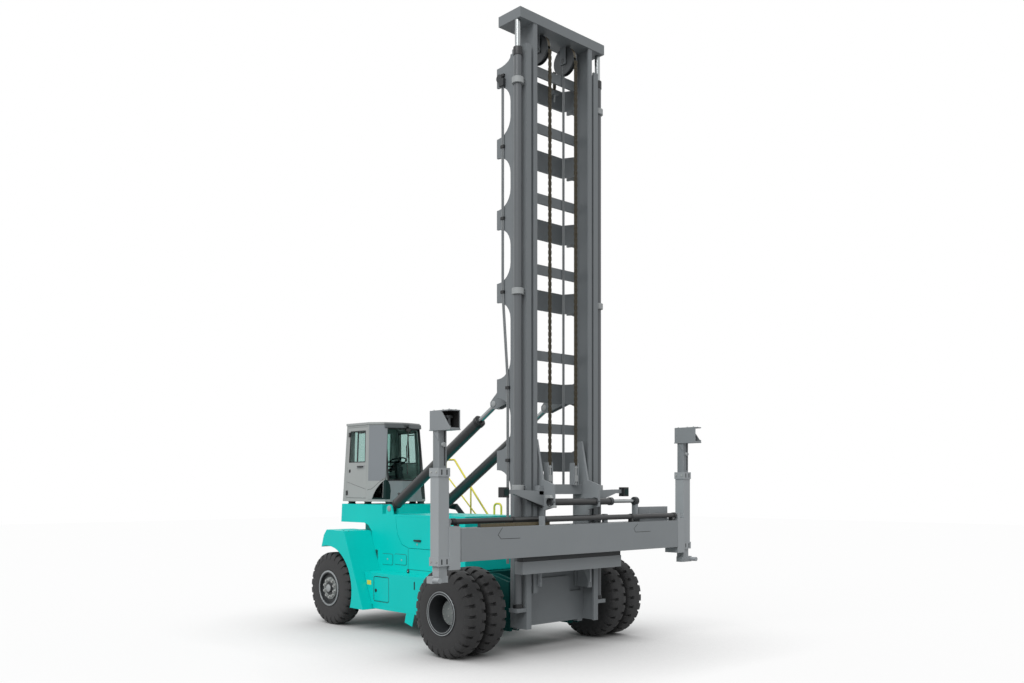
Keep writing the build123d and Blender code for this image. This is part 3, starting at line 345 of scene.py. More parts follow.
def in_a_row(unit, count, first, step):
    """Copies of a gathered shape in a row from first (mm), a step (m) apart."""
    return grow(COPIES, unit_mesh(unit), {"Count": count, "First": mm(*first), "Step": step})


def bolt_piece(name, seats, radius, height, material, body):
    """Bolts at (point, facing) seats, in mm, as one piece."""
    mesh = bpy.data.meshes.new("seats")
    mesh.from_pydata([mm(*place) for place, facing in seats], [], [])
    attribute = mesh.attributes.new("facing", "FLOAT_VECTOR", "POINT")
    for entry, (place, facing) in zip(attribute.data, seats):
        entry.vector = facing
    values = {"Radius": radius / 1000, "Height": height / 1000}
    return settle(name, grow(BOLTS, mesh, values), material, body)


# Materials

def linear(code):
    """An sRGB hex colour as the linear colour that a socket takes."""
    channels = [int(code[i:i + 2], 16) / 255 for i in (1, 3, 5)]
    return (*[c / 12.92 if c <= 0.04045 else ((c + 0.055) / 1.055) ** 2.4 for c in channels], 1)


def new_material(name, amounts):
    """Material with plain amounts set; gives it, its tree and its shader's inputs."""
    made = bpy.data.materials.new(name)
    made.use_nodes = True
    inputs = made.node_tree.nodes["Principled BSDF"].inputs
    for key, amount in amounts.items():
        inputs[key].default_value = amount
    return made, made.node_tree, inputs


def surface(name, base, shade, patch, roughness, metallic=0.0, coat=0.0, grit=0.0, depth=0.0,
            sheen=0.0, shine=0.5):
    """Colour that drifts from base to shade in patches, over a grit of a given depth; sizes in mm."""
    made, tree, inputs = new_material(name, {
        "Roughness": roughness, "Metallic": metallic, "Specular IOR Level": shine,
        "Coat Weight": coat, "Coat Roughness": 0.12, "Sheen Weight": sheen,
    })
    place = add(tree, "ShaderNodeTexCoord").outputs["Object"]
    cloud = add(tree, "ShaderNodeTexNoise", {"Vector": place, "Scale": 1000 / patch, "Detail": 3.0})
    drift = add(tree, "ShaderNodeMix", {
        0: cloud.outputs[0], 6: linear(base), 7: linear(shade),
    }, data_type="RGBA")
    tree.links.new(drift.outputs[2], inputs["Base Color"])
    if grit:
        grain = add(tree, "ShaderNodeTexNoise", {"Vector": place, "Scale": 1000 / grit, "Detail": 2.0})
        bump = add(tree, "ShaderNodeBump", {
            "Height": grain.outputs[0], "Distance": depth / 1000, "Strength": 0.6,
        })
        tree.links.new(bump.outputs[0], inputs["Normal"])
    return made


def tinted_glass(name, tint):
    """Toughened glass with a body tint: lets light through and mirrors a little at a slant."""
    return new_material(name, {
        "Base Color": linear(tint), "Roughness": 0.03, "Transmission Weight": 1.0, "IOR": 1.08,
    })[0]


# Two-pack enamel on sheet steel: a clear turquoise with a soft shine
TURQUOISE = surface("enamel_turquoise", "#00C9C2", "#00C0B9", 600, 0.4, shine=0.2)
# Painted shade: the same enamel darkened to a deep dull teal on the frame behind the mast, where the
# mast and spreader shade it
FRAME_SHADE_TEAL = surface("frame_front_painted_shade", "#0A4A47", "#073B39", 400, 0.55, shine=0.1)
# Mast enamel sprayed thick on plate: a flat mid grey, hardly any shine
MAST_GREY = surface("enamel_mast_grey", "#787D80", "#717679", 500, 0.45, shine=0.3)
# Spreader enamel: the same grey a tone lighter
SPREADER_GREY = surface("enamel_spreader_grey", "#888D90", "#818689", 500, 0.45, shine=0.3)
# Leg enamel: lighter again, so that the legs stand out from the beam
LEG_GREY = surface("enamel_leg_grey", "#9BA0A3", "#94999C", 500, 0.42, shine=0.35)
# Lift cylinder enamel: a darker grey with a long highlight
LIFT_GREY = surface("enamel_lift_grey", "#5E6265", "#575B5E", 400, 0.3, shine=0.5)
# Pale enamel on brackets and clamps: catches the light against the darker mast
PALE_GREY = surface("enamel_pale_grey", "#9DA1A2", "#939798", 300, 0.42, shine=0.3)
# Cab shell enamel: light grey, smooth
CAB_GREY = surface("enamel_cab_grey", "#A0A4A3", "#979B9A", 600, 0.4, shine=0.3)
# Corner panels of the cab: the same paint a tone darker, smoother
CORNER_GREY = surface("enamel_corner_grey", "#80858A", "#797E82", 700, 0.3, shine=0.4)
# Tilt and spreader cylinder enamel: dark grey, with a long highlight
BARREL_DARK = surface("enamel_barrel_dark", "#38393A", "#313233", 400, 0.3, shine=0.5)
# Handrail enamel: bright yellow with a soft shine
RAIL_YELLOW = surface("enamel_rail_yellow", "#E2D552", "#D8CB4B", 250, 0.4, shine=0.3)
# Pressed steel wheel, silver-grey lacquer: a dull metal sheen
RIM_SILVER = surface("lacquer_rim_silver", "#9CA1A3", "#8F9496", 200, 0.36, metallic=0.4)
# Hub enamel: mid grey with an even shine
HUB_GREY = surface("enamel_hub_grey", "#7C8281", "#727877", 250, 0.4)
# Painted shade in the deep wheel dishes and lip grooves: dark, so that the lips stand out as bright
# rings
RIM_DISH_SHADE = surface("rim_dish_painted_shade", "#2E3133", "#282B2D", 200, 0.5)
# Hard chrome on piston rods: a soft mirror of the floor and the panels
CHROME = surface("hard_chrome", "#A6AAAB", "#9DA1A2", 300, 0.24, metallic=1.0)
# Zinc-plated fasteners: pale, slightly rough metal
ZINC = surface("zinc_plate", "#C4C6C4", "#B2B5B4", 60, 0.34, metallic=0.8)
# Oiled steel: dark and half bright
STEEL_DARK = surface("oiled_steel", "#55585A", "#46494B", 120, 0.38, metallic=0.7)
# Cast iron under black primer: dull, with a sandy skin
IRON_BLACK = surface("cast_iron_primer", "#333638", "#2A2D2F", 150, 0.6, grit=4, depth=0.4)
# Greased leaf chain: brown film over steel plates, drawn in coarse patches so that it shows
CHAIN_BROWN = surface("greased_chain", "#4E4735", "#383226", 45, 0.5, metallic=0.2)
# Energy chain under dust: the same brown, paler
CHAIN_PALE = surface("greased_chain_plate", "#6A6048", "#4C4534", 45, 0.5, metallic=0.2)
# Moulded tyre rubber: charcoal, dull, with a fine skin
RUBBER = surface("moulded_tyre_rubber", "#2B2B2C", "#232324", 160, 0.72, grit=3, depth=0.25, sheen=0.1)
# Hose rubber and cab seals: black, half dull
SEAL_BLACK = surface("extruded_seal_rubber", "#26282A", "#1F2122", 120, 0.55)
# Moulded ABS trim: dark grey with a fine leather grain, drawn at 2 mm so that it shows
ABS_DARK = surface("moulded_abs_dark", "#34373A", "#2C2F32", 150, 0.5, grit=2, depth=0.15)
# Moulded cab lining: pale grey, so that the inside shows through the glass
LINING = surface("moulded_cab_lining", "#CDD3D1", "#C4CAC8", 200, 0.6, shine=0.3)
# Moulded ABS latches, clamps and lamp boxes: plain black with a soft shine
ABS_BLACK = surface("moulded_abs_black", "#1C1E20", "#17191B", 150, 0.42)
# Polyurethane hose cover: light grey, satin
HOSE_GREY = surface("polyurethane_hose", "#7C8082", "#727678", 200, 0.4)
# Woven seat cloth over foam: mid grey, soft edge light
CLOTH = surface("woven_seat_cloth", "#595E62", "#4B5054", 12, 0.9, grit=3, depth=0.5, sheen=0.35)
# Moulded polycarbonate lenses, glossy: near white, red and amber
LENS = surface("lamp_lens", "#E4E8E6", "#D5DAD8", 30, 0.12, coat=0.6)
LENS_RED = surface("lamp_lens_red", "#B3221E", "#9C1B18", 30, 0.18, coat=0.6)
LENS_AMBER = surface("lamp_lens_amber", "#E08A1B", "#CF7C14", 30, 0.18, coat=0.6)
# Ceramic print round bonded glass: dark teal, a little duller than the glass
GLASS_FRIT = surface("ceramic_glass_frit", "#16302E", "#122927", 200, 0.35, shine=0.15)
# Inside of slits and holes: no light comes back
DEEP = surface("deep_gap", "#0E0F10", "#0B0C0D", 100, 0.9)
# Toughened cab glass with a grey-green body tint, deeper through two panes
GLASS = tinted_glass("toughened_glass_green", "#B0CBC6")
# Door glass: nearly clear, so that the doors look paler than the windscreen
GLASS_PALE = tinted_glass("toughened_glass_door", "#DCE6E4")

# Slots that go with a material wherever a detail is made of it
SLOT_WITH = dict.fromkeys(
    (SEAL_BLACK, ABS_DARK, ABS_BLACK, LINING, LENS, LENS_RED, LENS_AMBER, DEEP), "dark_plastic")
SLOT_WITH.update({ZINC: "bare_steel", STEEL_DARK: "bare_steel", IRON_BLACK: "iron"})


# Camera, light and floor

# The camera's place in m and the way it looks, solved from the photo's long edges
CAMERA_SPOT, CAMERA_RUN = (-11.126, -13.2515, 2.607), (0.6832, 0.7303)
LENS_MM, FILM_MM, LENS_RISE, SIGHT = 33.57, 36, 0.1425, 200
# One wide lamp from the machine's right, and an even sky that looks pure white
LAMP_STRENGTH, LAMP_SPREAD, LAMP_RUN = 2.1, radians(50), (1.0, 0.42, -1.15)
SKY_LIGHT, SKY_SEEN, WHITE = 0.62, 1.0, (1, 1, 1, 1)
# Floor: half width and height in m, its tone to the machine and to the eye
FLOOR_HALF, FLOOR_Z = 60, -0.0015
FLOOR_BOUNCE, FLOOR_SEEN = (0.42, 0.42, 0.42, 1), (0.86, 0.86, 0.86, 1)
# Contact shadow: reach in m, depth, and its share of what the eye sees
SHADOW_REACH, SHADOW_DEPTH, SHADOW_SHARE = 3.0, 1.7, 0.66


def set_camera_and_lamp(scene):
    """The photo's camera, and one wide lamp."""
    lens = bpy.data.cameras.new("photo_camera")
    lens.sensor_width = FILM_MM
    lens.lens = LENS_MM
    lens.shift_y = LENS_RISE
    lens.clip_end = SIGHT
    camera = hold(lens, "photo_camera")
    camera.location = CAMERA_SPOT
    camera.rotation_euler = (pi / 2, 0, -atan2(*CAMERA_RUN))
    scene.camera = camera
    lamp = bpy.data.lights.new("window_light", "SUN")
    lamp.energy = LAMP_STRENGTH
    lamp.angle = LAMP_SPREAD
    sun = hold(lamp, "window_light")
    sun.rotation_euler = Vector(LAMP_RUN).to_track_quat("-Z", "Y").to_euler()


def set_sky(scene):
    """A soft sky that the eye, mirrors and glass see as white."""
    world = bpy.data.worlds.new("white_studio")
    scene.world = world
    world.use_nodes = True
    tree = world.node_tree
    tree.nodes.clear()
    path = add(tree, "ShaderNodeLightPath").outputs
    seen = path["Is Camera Ray"]
    for other in ("Is Glossy Ray", "Is Transmission Ray"):
        either = add(tree, "ShaderNodeMath", {0: seen, 1: path[other]}, operation="MAXIMUM")
        seen = either.outputs[0]
    soft = add(tree, "ShaderNodeBackground", {"Color": WHITE, "Strength": SKY_LIGHT})
    white = add(tree, "ShaderNodeBackground", {"Color": WHITE, "Strength": SKY_SEEN})
    both = add(tree, "ShaderNodeMixShader", {0: seen, 1: soft.outputs[0], 2: white.outputs[0]})
    add(tree, "ShaderNodeOutputWorld", {"Surface": both.outputs[0]})


def set_floor():
    """A white floor that darkens where the machine stands close over it."""
    half = FLOOR_HALF
    bm = bmesh.new()
    corners = ((-half, -half), (half, -half), (half, half), (-half, half))
    bm.faces.new([bm.verts.new((x, y, FLOOR_Z)) for x, y in corners])
    mesh = as_mesh(bm, "studio_floor")
    pale, tree, _ = new_material("white_floor_paint", {})
    tree.nodes.clear()
    seen = add(tree, "ShaderNodeLightPath").outputs["Is Camera Ray"]
    tone = add(tree, "ShaderNodeMix", {0: seen, 6: FLOOR_BOUNCE, 7: FLOOR_SEEN}, data_type="RGBA")
    matt = add(tree, "ShaderNodeBsdfDiffuse", {"Color": tone.outputs[2]})
    open_sky = add(tree, "ShaderNodeAmbientOcclusion", {"Distance": SHADOW_REACH}, samples=16)
    fall = add(tree, "ShaderNodeMath", {
        0: open_sky.outputs["AO"], 1: SHADOW_DEPTH,
    }, operation="POWER")
    glow = add(tree, "ShaderNodeEmission", {"Color": WHITE, "Strength": fall.outputs[0]})
    share = add(tree, "ShaderNodeMath", {0: seen, 1: SHADOW_SHARE}, operation="MULTIPLY")
    both = add(tree, "ShaderNodeMixShader", {
        0: share.outputs[0], 1: matt.outputs[0], 2: glow.outputs[0],
    })
    add(tree, "ShaderNodeOutputMaterial", {"Surface": both.outputs[0]})
    mesh.materials.append(pale)
    floor = hold(mesh, "studio_floor")


bpy.context.scene.view_settings.view_transform = "Standard"
set_camera_and_lamp(bpy.context.scene)
set_sky(bpy.context.scene)
set_floor()


# Nodes whose CAD shape is right: rounded edges, in mm, and their finish

SOFT = {
    TURQUOISE: (
        ("hood_hatch_left", 5), ("hood_hatch_right", 5), ("counterweight", 8),
        ("rear_fenders", 5), ("side_box_right", 5), ("side_box_door", 4), ("side_tank_left", 5),
    ),
    MAST_GREY: (
        ("outer_mast", 4), ("mast_side_plates", 3), ("inner_mast", 4), ("tilt_lugs", 3),
    ),
    SPREADER_GREY: (("spreader_beam", 5), ("head_left", 4), ("head_right", 4)),
    LEG_GREY: (("arm_left", 5), ("arm_right", 5)),
    LIFT_GREY: (("lift_barrels", 3),),
    CAB_GREY: (("cab_shell", 6), ("cab_door_left", 4), ("cab_door_right", 4)),
    BARREL_DARK: (("tilt_barrel_left", 3), ("tilt_barrel_right", 3), ("side_shift_barrel", 3)),
    IRON_BLACK: (
        ("drive_axle", 6), ("steer_axle", 5), ("knuckle_left", 4), ("knuckle_right", 4),
        ("engine_block", 8),
    ),
    RAIL_YELLOW: (("handrails", 2),),
    ABS_DARK: (("access_steps", 3), ("cab_controls", 3)),
    CHROME: (("tilt_rod_left", 2), ("tilt_rod_right", 2)),
}
for material, members in SOFT.items():
    for node, width in members:
        soften(node, material, width)


def paint_front_shade(piece, rear):
    """Dull teal of painted shade on the faces ahead of a line, where the mast is hung."""
    piece.data.materials.append(FRAME_SHADE_TEAL)
    for face in piece.data.polygons:
        if face.center.y < mm(0, rear, 0)[1]:
            face.material_index = 1


# Painted shade on the frame's front faces, under the mast and spreader
paint_front_shade(soften("chassis_frame", TURQUOISE, 5), HANG_LINE)


def dress(node, material):
    """Give a CAD node that stays as it is a better finish."""
    for place in nodes[node].material_slots:
        place.link = "OBJECT"
        place.material = material


dress("lift_rods", CHROME)
dress("carriage_frame", SPREADER_GREY)
dress("telescope_barrels", BARREL_DARK)
dress("cab_glass", GLASS)
for pane in ("door_glass_left", "door_glass_right"):
    dress(pane, GLASS_PALE)


# Wheels

# Tyre casing and one shoulder lug as (x, radius) points in mm
CASING = (
    (-150, 301), (-166, 316), (-170, 345), (-173, 352), (-173, 370), (-174.5, 380), (-175, 440),
    (-174.5, 500), (-171, 545), (-163, 590), (-148, 630), (-124, 636), (-70, 636), (-56, 684),
    (0, 685), (56, 684), (70, 636), (124, 636), (148, 630), (163, 590), (171, 545), (174.5, 500),
    (175, 440), (174.5, 380), (173, 370), (173, 352), (170, 345), (166, 316), (150, 301),
)
LUG = (
    (52, 626), (52, 684.4), (112, 682), (143, 668), (162, 640), (172, 596), (175, 548), (150, 540),
)
# Lugs in a row, a lug's share of its step, and its lean in radians
TYRE_LUGS, LUG_SHARE, LUG_LEAN = 26, 0.68, 0.012


def add_wedge(bm, outline, sweep, steps, slant):
    """Outline of (x, radius) points swept about the X axis, leaning with x by slant."""
    low = min(x for x, radius in outline)
    wide = max(x for x, radius in outline) - low
    rings = []
    for step in range(steps + 1):
        row = []
        for x, radius in outline:
            angle = sweep * (step / steps - 0.5) + slant * (x - low) / wide
            row.append(bm.verts.new(mm(x, radius * cos(angle), radius * sin(angle))))
        rings.append(row)
    skin(bm, rings)


def tyre_piece(node, places, y, body):
    """Casing and two staggered rows of shoulder lugs for each tyre of a wheel."""
    bm = bmesh.new()
    for x in places:
        add_turned(bm, (x, y, AXLE_Z), (1, 0, 0), CASING, 104, closed=True)
    step = 2 * pi / TYRE_LUGS
    for x in places:
        for side, start in ((1, 0.0), (-1, step / 2)):
            unit = bmesh.new()
            outline = [(side * a, radius) for a, radius in LUG]
            add_wedge(unit, outline, step * LUG_SHARE, 4, side * LUG_LEAN)
            values = {"Count": TYRE_LUGS, "First": mm(x, y, AXLE_Z), "Start": start, "Turn": step}
            take_in(bm, grow(COPIES, unit_mesh(unit), values))
    finish("tread_" + node, bm, RUBBER, body, (node,), 2.5, 1)


def wheel_bolts(name, x, y, side, count, radius, size, body):
    """Ring of wheel nuts that face outwards."""
    seats = []
    for i in range(count):
        angle = 2 * pi * (i + 0.5) / count
        spot = (x, y + radius * cos(angle), AXLE_Z + radius * sin(angle))
        seats.append((spot, (side, 0, 0)))
    bolt_piece(name, seats, size, size * 1.1, ZINC, body)


def turned_piece(name, x, y, side, profile, material, body, closed=True):
    """Turned wheel piece; the profile is (out from x, radius)."""
    bm = bmesh.new()
    add_turned(bm, (x, y, AXLE_Z), (side, 0, 0), profile, 72, closed)
    finish(name, bm, material, body)


def front_wheel(end, side):
    """Twin tyres, thin bright lips, a deep dish dark with painted shade, and the planetary hub."""
    body = "front_wheel_" + end
    tyre_piece("tyres_front_" + end, (side * TWIN_INNER_X, side * TWIN_OUTER_X), 0, body)
    x = side * TWIN_OUTER_X
    # The rim's dish in dark grey: painted shade
    soften("rim_front_" + end, RIM_DISH_SHADE, 3)
    lip = ((178, 324), (188, 324), (190, 328), (190, 334), (187, 337), (178, 337))
    turned_piece("rim_lip_front_" + end, x, 0, side, lip, RIM_SILVER, body)
    ring = ((176, 288), (186, 289), (189, 294), (188, 299), (182, 302), (176, 302))
    turned_piece("lock_ring_front_" + end, x, 0, side, ring, RIM_SILVER, body)
    # Groove between lip and lock ring, dark with painted shade
    gap = ((180, 300), (187.5, 300), (187.5, 326), (180, 326))
    turned_piece("lip_groove_front_" + end, x, 0, side, gap, RIM_DISH_SHADE, body)
    hub = (
        (-214, 120), (-214, 236), (-206, 242), (-202, 238), (-202, 199), (-60, 199), (-56, 203),
        (-38, 203), (-34, 199), (-16, 197), (-12, 192), (-2, 188), (-1, 178), (-1, 130), (1, 126),
        (1, 0),
    )
    turned_piece("planet_hub_" + end, x, 0, side, hub, HUB_GREY, body, closed=False)
    wheel_bolts("wheel_nuts_front_" + end, x + side * -208, 0, side, 20, 220, 15, body)
    wheel_bolts("hub_bolts_" + end, x, 0, side, 12, 160, 8, body)
    wheel_bolts("hub_plugs_" + end, x + side * 2, 0, side, 3, 62, 9, body)


def rear_wheel(end, side):
    """Steered wheel: silver lip, dish dark with painted shade, grey ring of large pale nuts, and hub
    cap.
    """
    body = "rear_wheel_" + end
    tyre_piece("tyre_rear_" + end, (side * REAR_TYRE_X,), WHEELBASE, body)
    x = side * REAR_TYRE_X
    soften("rim_rear_" + end, RIM_DISH_SHADE, 3)
    lip = (
        (110, 300), (140, 298), (172, 298), (184, 301), (190, 308), (190, 330), (187, 337),
        (176, 337), (172, 312),
    )
    turned_piece("rim_lip_rear_" + end, x, WHEELBASE, side, lip, RIM_SILVER, body)
    plate = ((139, 120), (139, 214), (150, 214), (154, 210), (154, 124), (150, 120))
    turned_piece("bolt_ring_" + end, x, WHEELBASE, side, plate, HUB_GREY, body)
    cap = ((160, 76), (180, 74), (196, 68), (202, 56), (202, 0))
    turned_piece("hub_cap_" + end, x, WHEELBASE, side, cap, PALE_GREY, body, closed=False)
    wheel_bolts("wheel_nuts_rear_" + end, x + side * 156, WHEELBASE, side, 10, 168, 26, body)


for end, side in BOTH_SIDES:
    front_wheel(end, side)
    rear_wheel(end, side)


# Body

def on(node, name, bm, material, bevel=0.0, slot=None, stands_for=(), segments=2):
    """A piece that goes with a CAD node, on the node's body; the slot named, the material's or the
    node's, is worked out but not used.
    """
    slot = slot or SLOT_WITH.get(material) or SLOT_OF[node]
    return finish(name, bm, material, BODY_OF[node], stands_for, bevel, segments)


def panel(node, name, outlines, x, material, bevel=0.0, slot=None):
    """Flat (y, z) outlines on a side of the machine, between two places in X."""
    bm = bmesh.new()
    for outline in outlines:
        add_prism(bm, outline, x)
    on(node, name, bm, material, bevel, slot)


def boxes(node, name, spans, material, bevel=0.0):
    """Boxes, each from three (low, high) pairs, as one piece."""
    bm = bmesh.new()
    for x, y, z in spans:
        add_box(bm, x, y, z)
    on(node, name, bm, material, bevel)


def knobs(node, name, spots, facing, profile, material, sides=20, slot=None):
    """Turned knobs, caps or lamps at several spots."""
    bm = bmesh.new()
    for spot in spots:
        add_turned(bm, spot, facing, profile, sides)
    on(node, name, bm, material, 0.0, slot)


def hood_details():
    """Covers, seams, caps and latches on the hood and its hatches."""
    side, right = -BODY_X, (-1, 0, 0)
    covers = (((3240, 1270), (168, 98)), ((2835, 1285), (183, 93)))
    panel("chassis_frame", "cover_seals", [rounded(m, (a + 7, b + 7), 44) for m, (a, b) in covers],
          (side - 1.5, side + 4), SEAL_BLACK)
    panel("chassis_frame", "service_covers", [rounded(m, half, 38) for m, half in covers],
          (side - 9, side + 4), TURQUOISE, 3)
    panel("chassis_frame", "side_seams", [
        [(2597, 1115), (2604, 1115), (2604, 1490), (2597, 1490)],
        [(1060, 1118), (2600, 1118), (2600, 1124), (1060, 1124)],
    ], (side - 1.2, side + 4), DEEP)
    lock = [(-2, 17), (4, 17), (6, 14), (6, 0)]
    knobs("chassis_frame", "cover_locks", [(side - 9, 3225, 1272), (side - 9, 2789, 1276)], right,
          lock, ZINC)
    knobs("chassis_frame", "side_cap", [(side, 2600, 1085)], right,
          [(-2, 38), (8, 38), (12, 32), (12, 0)], ABS_BLACK)
    knobs("chassis_frame", "side_cap_dot", [(side - 12, 2600, 1085)], right,
          [(-1, 10), (1.5, 10), (2.5, 8), (2.5, 0)], LENS)
    boxes("hood_hatch_right", "hatch_latch", [
        ((side - 20, side + 4), (2215, 2425), (1634, 1664)),
        ((side - 26, side - 16), (2225, 2330), (1630, 1668)),
    ], ABS_BLACK, 5)
    knobs("hood_hatch_right", "hatch_lock", [(side, 2335, 1583)], right, lock, PALE_GREY,
          slot="bare_steel")
    boxes("hood_hatch_left", "hatch_latch_left", [
        ((BODY_X - 4, BODY_X + 20), (1480, 1690), (1634, 1664)),
    ], ABS_BLACK, 5)


def side_box_details():
    """Door seal, latch, tag, sills and mud flaps of the side box and the tank, and the tank's cap."""
    face = -BOX_X
    bm = bmesh.new()
    loop = [(face, y, z) for y, z in rounded((2905, 760), (232, 227), 46, 4)]
    add_tube(bm, loop, 4, 2, closed=True)
    on("side_box_right", "box_door_seal", bm, SEAL_BLACK)
    knobs("side_box_door", "box_latch", [(face, 3070, 730)], (-1, 0, 0),
          [(-2, 32), (6, 32), (9, 28), (9, 14), (18, 12), (18, 0)], ABS_BLACK)
    panel("side_box_right", "box_slot", [rounded((1918, 896), (16, 72), 15)],
          (face - 1.5, face + 4), DEEP)
    tag = [(3225, 822), (3352, 822), (3352, 900), (3225, 900)]
    panel("side_box_right", "yellow_tag", [tag], (face - 2, face + 4), RAIL_YELLOW, 1, "rail_paint")
    sill = [(1160, 396), (3140, 396), (3172, 474), (1160, 474)]
    panel("side_box_right", "box_sill", [sill], (face, face + 14), TURQUOISE, 2)
    panel("side_tank_left", "tank_sill", [sill], (-face - 14, -face), TURQUOISE, 2)
    flap = [(2150, 560), (2150, 430), (2205, 231), (1990, 180), (1888, 520), (1888, 560)]
    panel("side_box_right", "mud_flap_right", [flap], (face + 2, face + 16), TURQUOISE, 3)
    panel("side_tank_left", "mud_flap_left", [flap], (-face - 16, -face - 2), TURQUOISE, 3)
    knobs("side_tank_left", "tank_cap", [(850, 1500, BOX_TOP)], (0, 0, 1),
          [(-4, 62), (12, 62), (14, 74), (58, 74), (64, 66), (64, 0)], ABS_BLACK, 32)
    knobs("rear_fenders", "fender_holes", [(-1215, 3700, 1795), (-1215, 3860, 1800)], (0, -0.1, 1),
          [(-3, 11), (1.5, 11), (1.5, 0)], DEEP, 12)


def rear_details():
    """Grille, lamps and step treads at the rear."""
    rear, lamp_x = BODY_REAR, (-560, 560)
    unit = bmesh.new()
    add_box(unit, (-400, 400), (-6, 6), (-8, 8))
    bars = in_a_row(unit, 8, (0, rear + 10, 1990), (0, -0.0025, 0.03))
    settle("deck_grille", bars, ABS_BLACK, "chassis")
    for name, material, z in (("tail_lamps", LENS_RED, 2100), ("turn_lamps", LENS_AMBER, 2190)):
        boxes("chassis_frame", name, [
            ((x - 50, x + 50), (rear - 6, rear + 26), (z - 36, z + 36)) for x in lamp_x
        ], material, 8)
    boxes("chassis_frame", "lamp_backs", [
        ((x - 62, x + 62), (rear - 12, rear + 16), (2050, 2240)) for x in lamp_x
    ], ABS_BLACK, 5)
    treads = ((2085, 1300), (2385, 1548), (2685, 1796), (2985, 2044))
    boxes("access_steps", "step_grips", [
        ((690, 1010), (y + 34 + 56 * row, y + 58 + 56 * row), (z - 1, z + 3))
        for y, z in treads for row in range(4)
    ], STEEL_DARK, 1)


hood_details()
side_box_details()
rear_details()


# Cab

CAB_WALLS = {"rear": (0, 1), "side": (1, 2), "corner": (2, 3), "nose": (3, 4), "front": (4, 5)}
# Lines of the cab's plan at the floor, in mm, and how far each has moved at the roof
CORNER_Y, NOSE_Y = 3900, 3560
REAR_LEAN, SIDE_LEAN, CORNER_LEAN, NOSE_LEAN = 75, 60, 30, 125
# From the side in to the corner post and to the screen, and the screen's step back
POST_IN, SCREEN_IN, SCREEN_BACK = 180, 520, 90
NOSE_SLANT = 1.0344  # length along the slanting nose wall for each mm of X
PRINT, LINED = (-2, 2.5), (-57, -47)  # mm out from a wall


def lean_at(z):
    """Share of the way up the cab."""
    return (z - CAB_FLOOR) / (CAB_ROOF - CAB_FLOOR)


def wall_spot(wall, side, along, z, out):
    """Point on a leaning cab wall, so far along it from its rear end, moved out from it (mm)."""
    lean = lean_at(z)
    half, rear = BODY_X - SIDE_LEAN * lean, CAB_REAR - REAR_LEAN * lean
    corner, nose = CORNER_Y + CORNER_LEAN * lean, NOSE_Y + NOSE_LEAN * lean
    plan = (
        (0, rear), (half, rear), (half, corner), (half - POST_IN, nose),
        (half - SCREEN_IN, nose - SCREEN_BACK), (0, nose - SCREEN_BACK),
    )
    first, last = CAB_WALLS[wall]
    (ax, ay), (bx, by) = plan[first], plan[last]
    long = hypot(bx - ax, by - ay)
    ux, uy = (bx - ax) / long, (by - ay) / long
    return (side * (ax + ux * along - uy * out), ay + uy * along + ux * out, z)


def add_on_wall(bm, wall, side, outline, outs):
    """Outline of (along, z) points on a cab wall, between two distances out from it."""
    skin(bm, [[bm.verts.new(mm(*wall_spot(wall, side, a, z, out))) for a, z in outline] for out in outs])


def add_wall_box(bm, wall, side, along, z, outs):
    """Box on a cab wall from three (low, high) pairs."""
    corners = [(along[0], z[0]), (along[1], z[0]), (along[1], z[1]), (along[0], z[1])]
    add_on_wall(bm, wall, side, corners, outs)


def add_wall_line(bm, wall, side, points, wide, outs):
    """Strip of a given width that follows (along, z) points on a cab wall."""
    for (a, b), (c, d) in zip(points, points[1:]):
        long = hypot(c - a, d - b)
        na, nb = (d - b) / long * wide / 2, -(c - a) / long * wide / 2
        corners = [(a + na, b + nb), (c + na, d + nb), (c - na, d - nb), (a - na, b - nb)]
        add_on_wall(bm, wall, side, corners, outs)


def on_door(points):
    """Points (y, z) of a side wall as (distance from the cab's rear edge, z)."""
    return [(CAB_REAR - REAR_LEAN * lean_at(z) - y, z) for y, z in points]


def pane_edge(x, z):
    """How far along the nose wall a given X lies."""
    return (BODY_X - POST_IN - SIDE_LEAN * lean_at(z) - x) * NOSE_SLANT


def door_piece(end, side):
    """Two-pane window bars, handle, lock, hinges and the crease on one door; the crease is a black line
    of painted shade.
    """
    node = "cab_door_" + end
    bm = bmesh.new()
    for points, wide, outs in (
        ([(4015, 3100), (4560, 3100), (4535, 3700), (4030, 3700), (4015, 3100)], 16, (-3, 3)),
        ([(4284, 3100), (4284, 3700)], 26, (-14, 3)),
        ([(4270, 3662), (4040, 3662)], 18, (-12, 3)),
        # The door's crease as a thin black line: painted shade
        ([(4632, 2718), (3962, 2572)], 5, (-3, 1.2)),
    ):
        add_wall_line(bm, "side", side, on_door(points), wide, outs)
    on(node, "door_seals_" + end, bm, SEAL_BLACK)

    def add_patch(bm, y, z, outs):
        """Block on the door from (rear, front), (low, high) and its distances out."""
        corners = on_door([(y[0], z[0]), (y[0], z[1]), (y[1], z[1]), (y[1], z[0])])
        add_on_wall(bm, "side", side, corners, outs)

    bm = bmesh.new()
    add_patch(bm, (4290, 4030), (2978, 3042), (-12, 6))
    on(node, "handle_plate_" + end, bm, PALE_GREY, 2)
    bm = bmesh.new()
    add_patch(bm, (4250, 4060), (2996, 3024), (6, 30))
    add_on_wall(bm, "side", side, rounded(on_door([(4531, 2928)])[0], (24, 30), 10, 2), (-12, 10))
    for z in (2500, 3640):
        y = 4625 - 40 * (z - 2400) / 1380  # the door's leaning rear edge
        add_patch(bm, (y + 8, y - 42), (z - 45, z + 45), (-6, 16))
    on(node, "door_handle_" + end, bm, ABS_BLACK, 4)
    bm = bmesh.new()
    low = on_door([(4600, 2440), (3990, 2440), (4000, 3080), (4580, 3080)])
    add_on_wall(bm, "side", side, low, (-51, -43))
    on(node, "door_lining_" + end, bm, LINING)


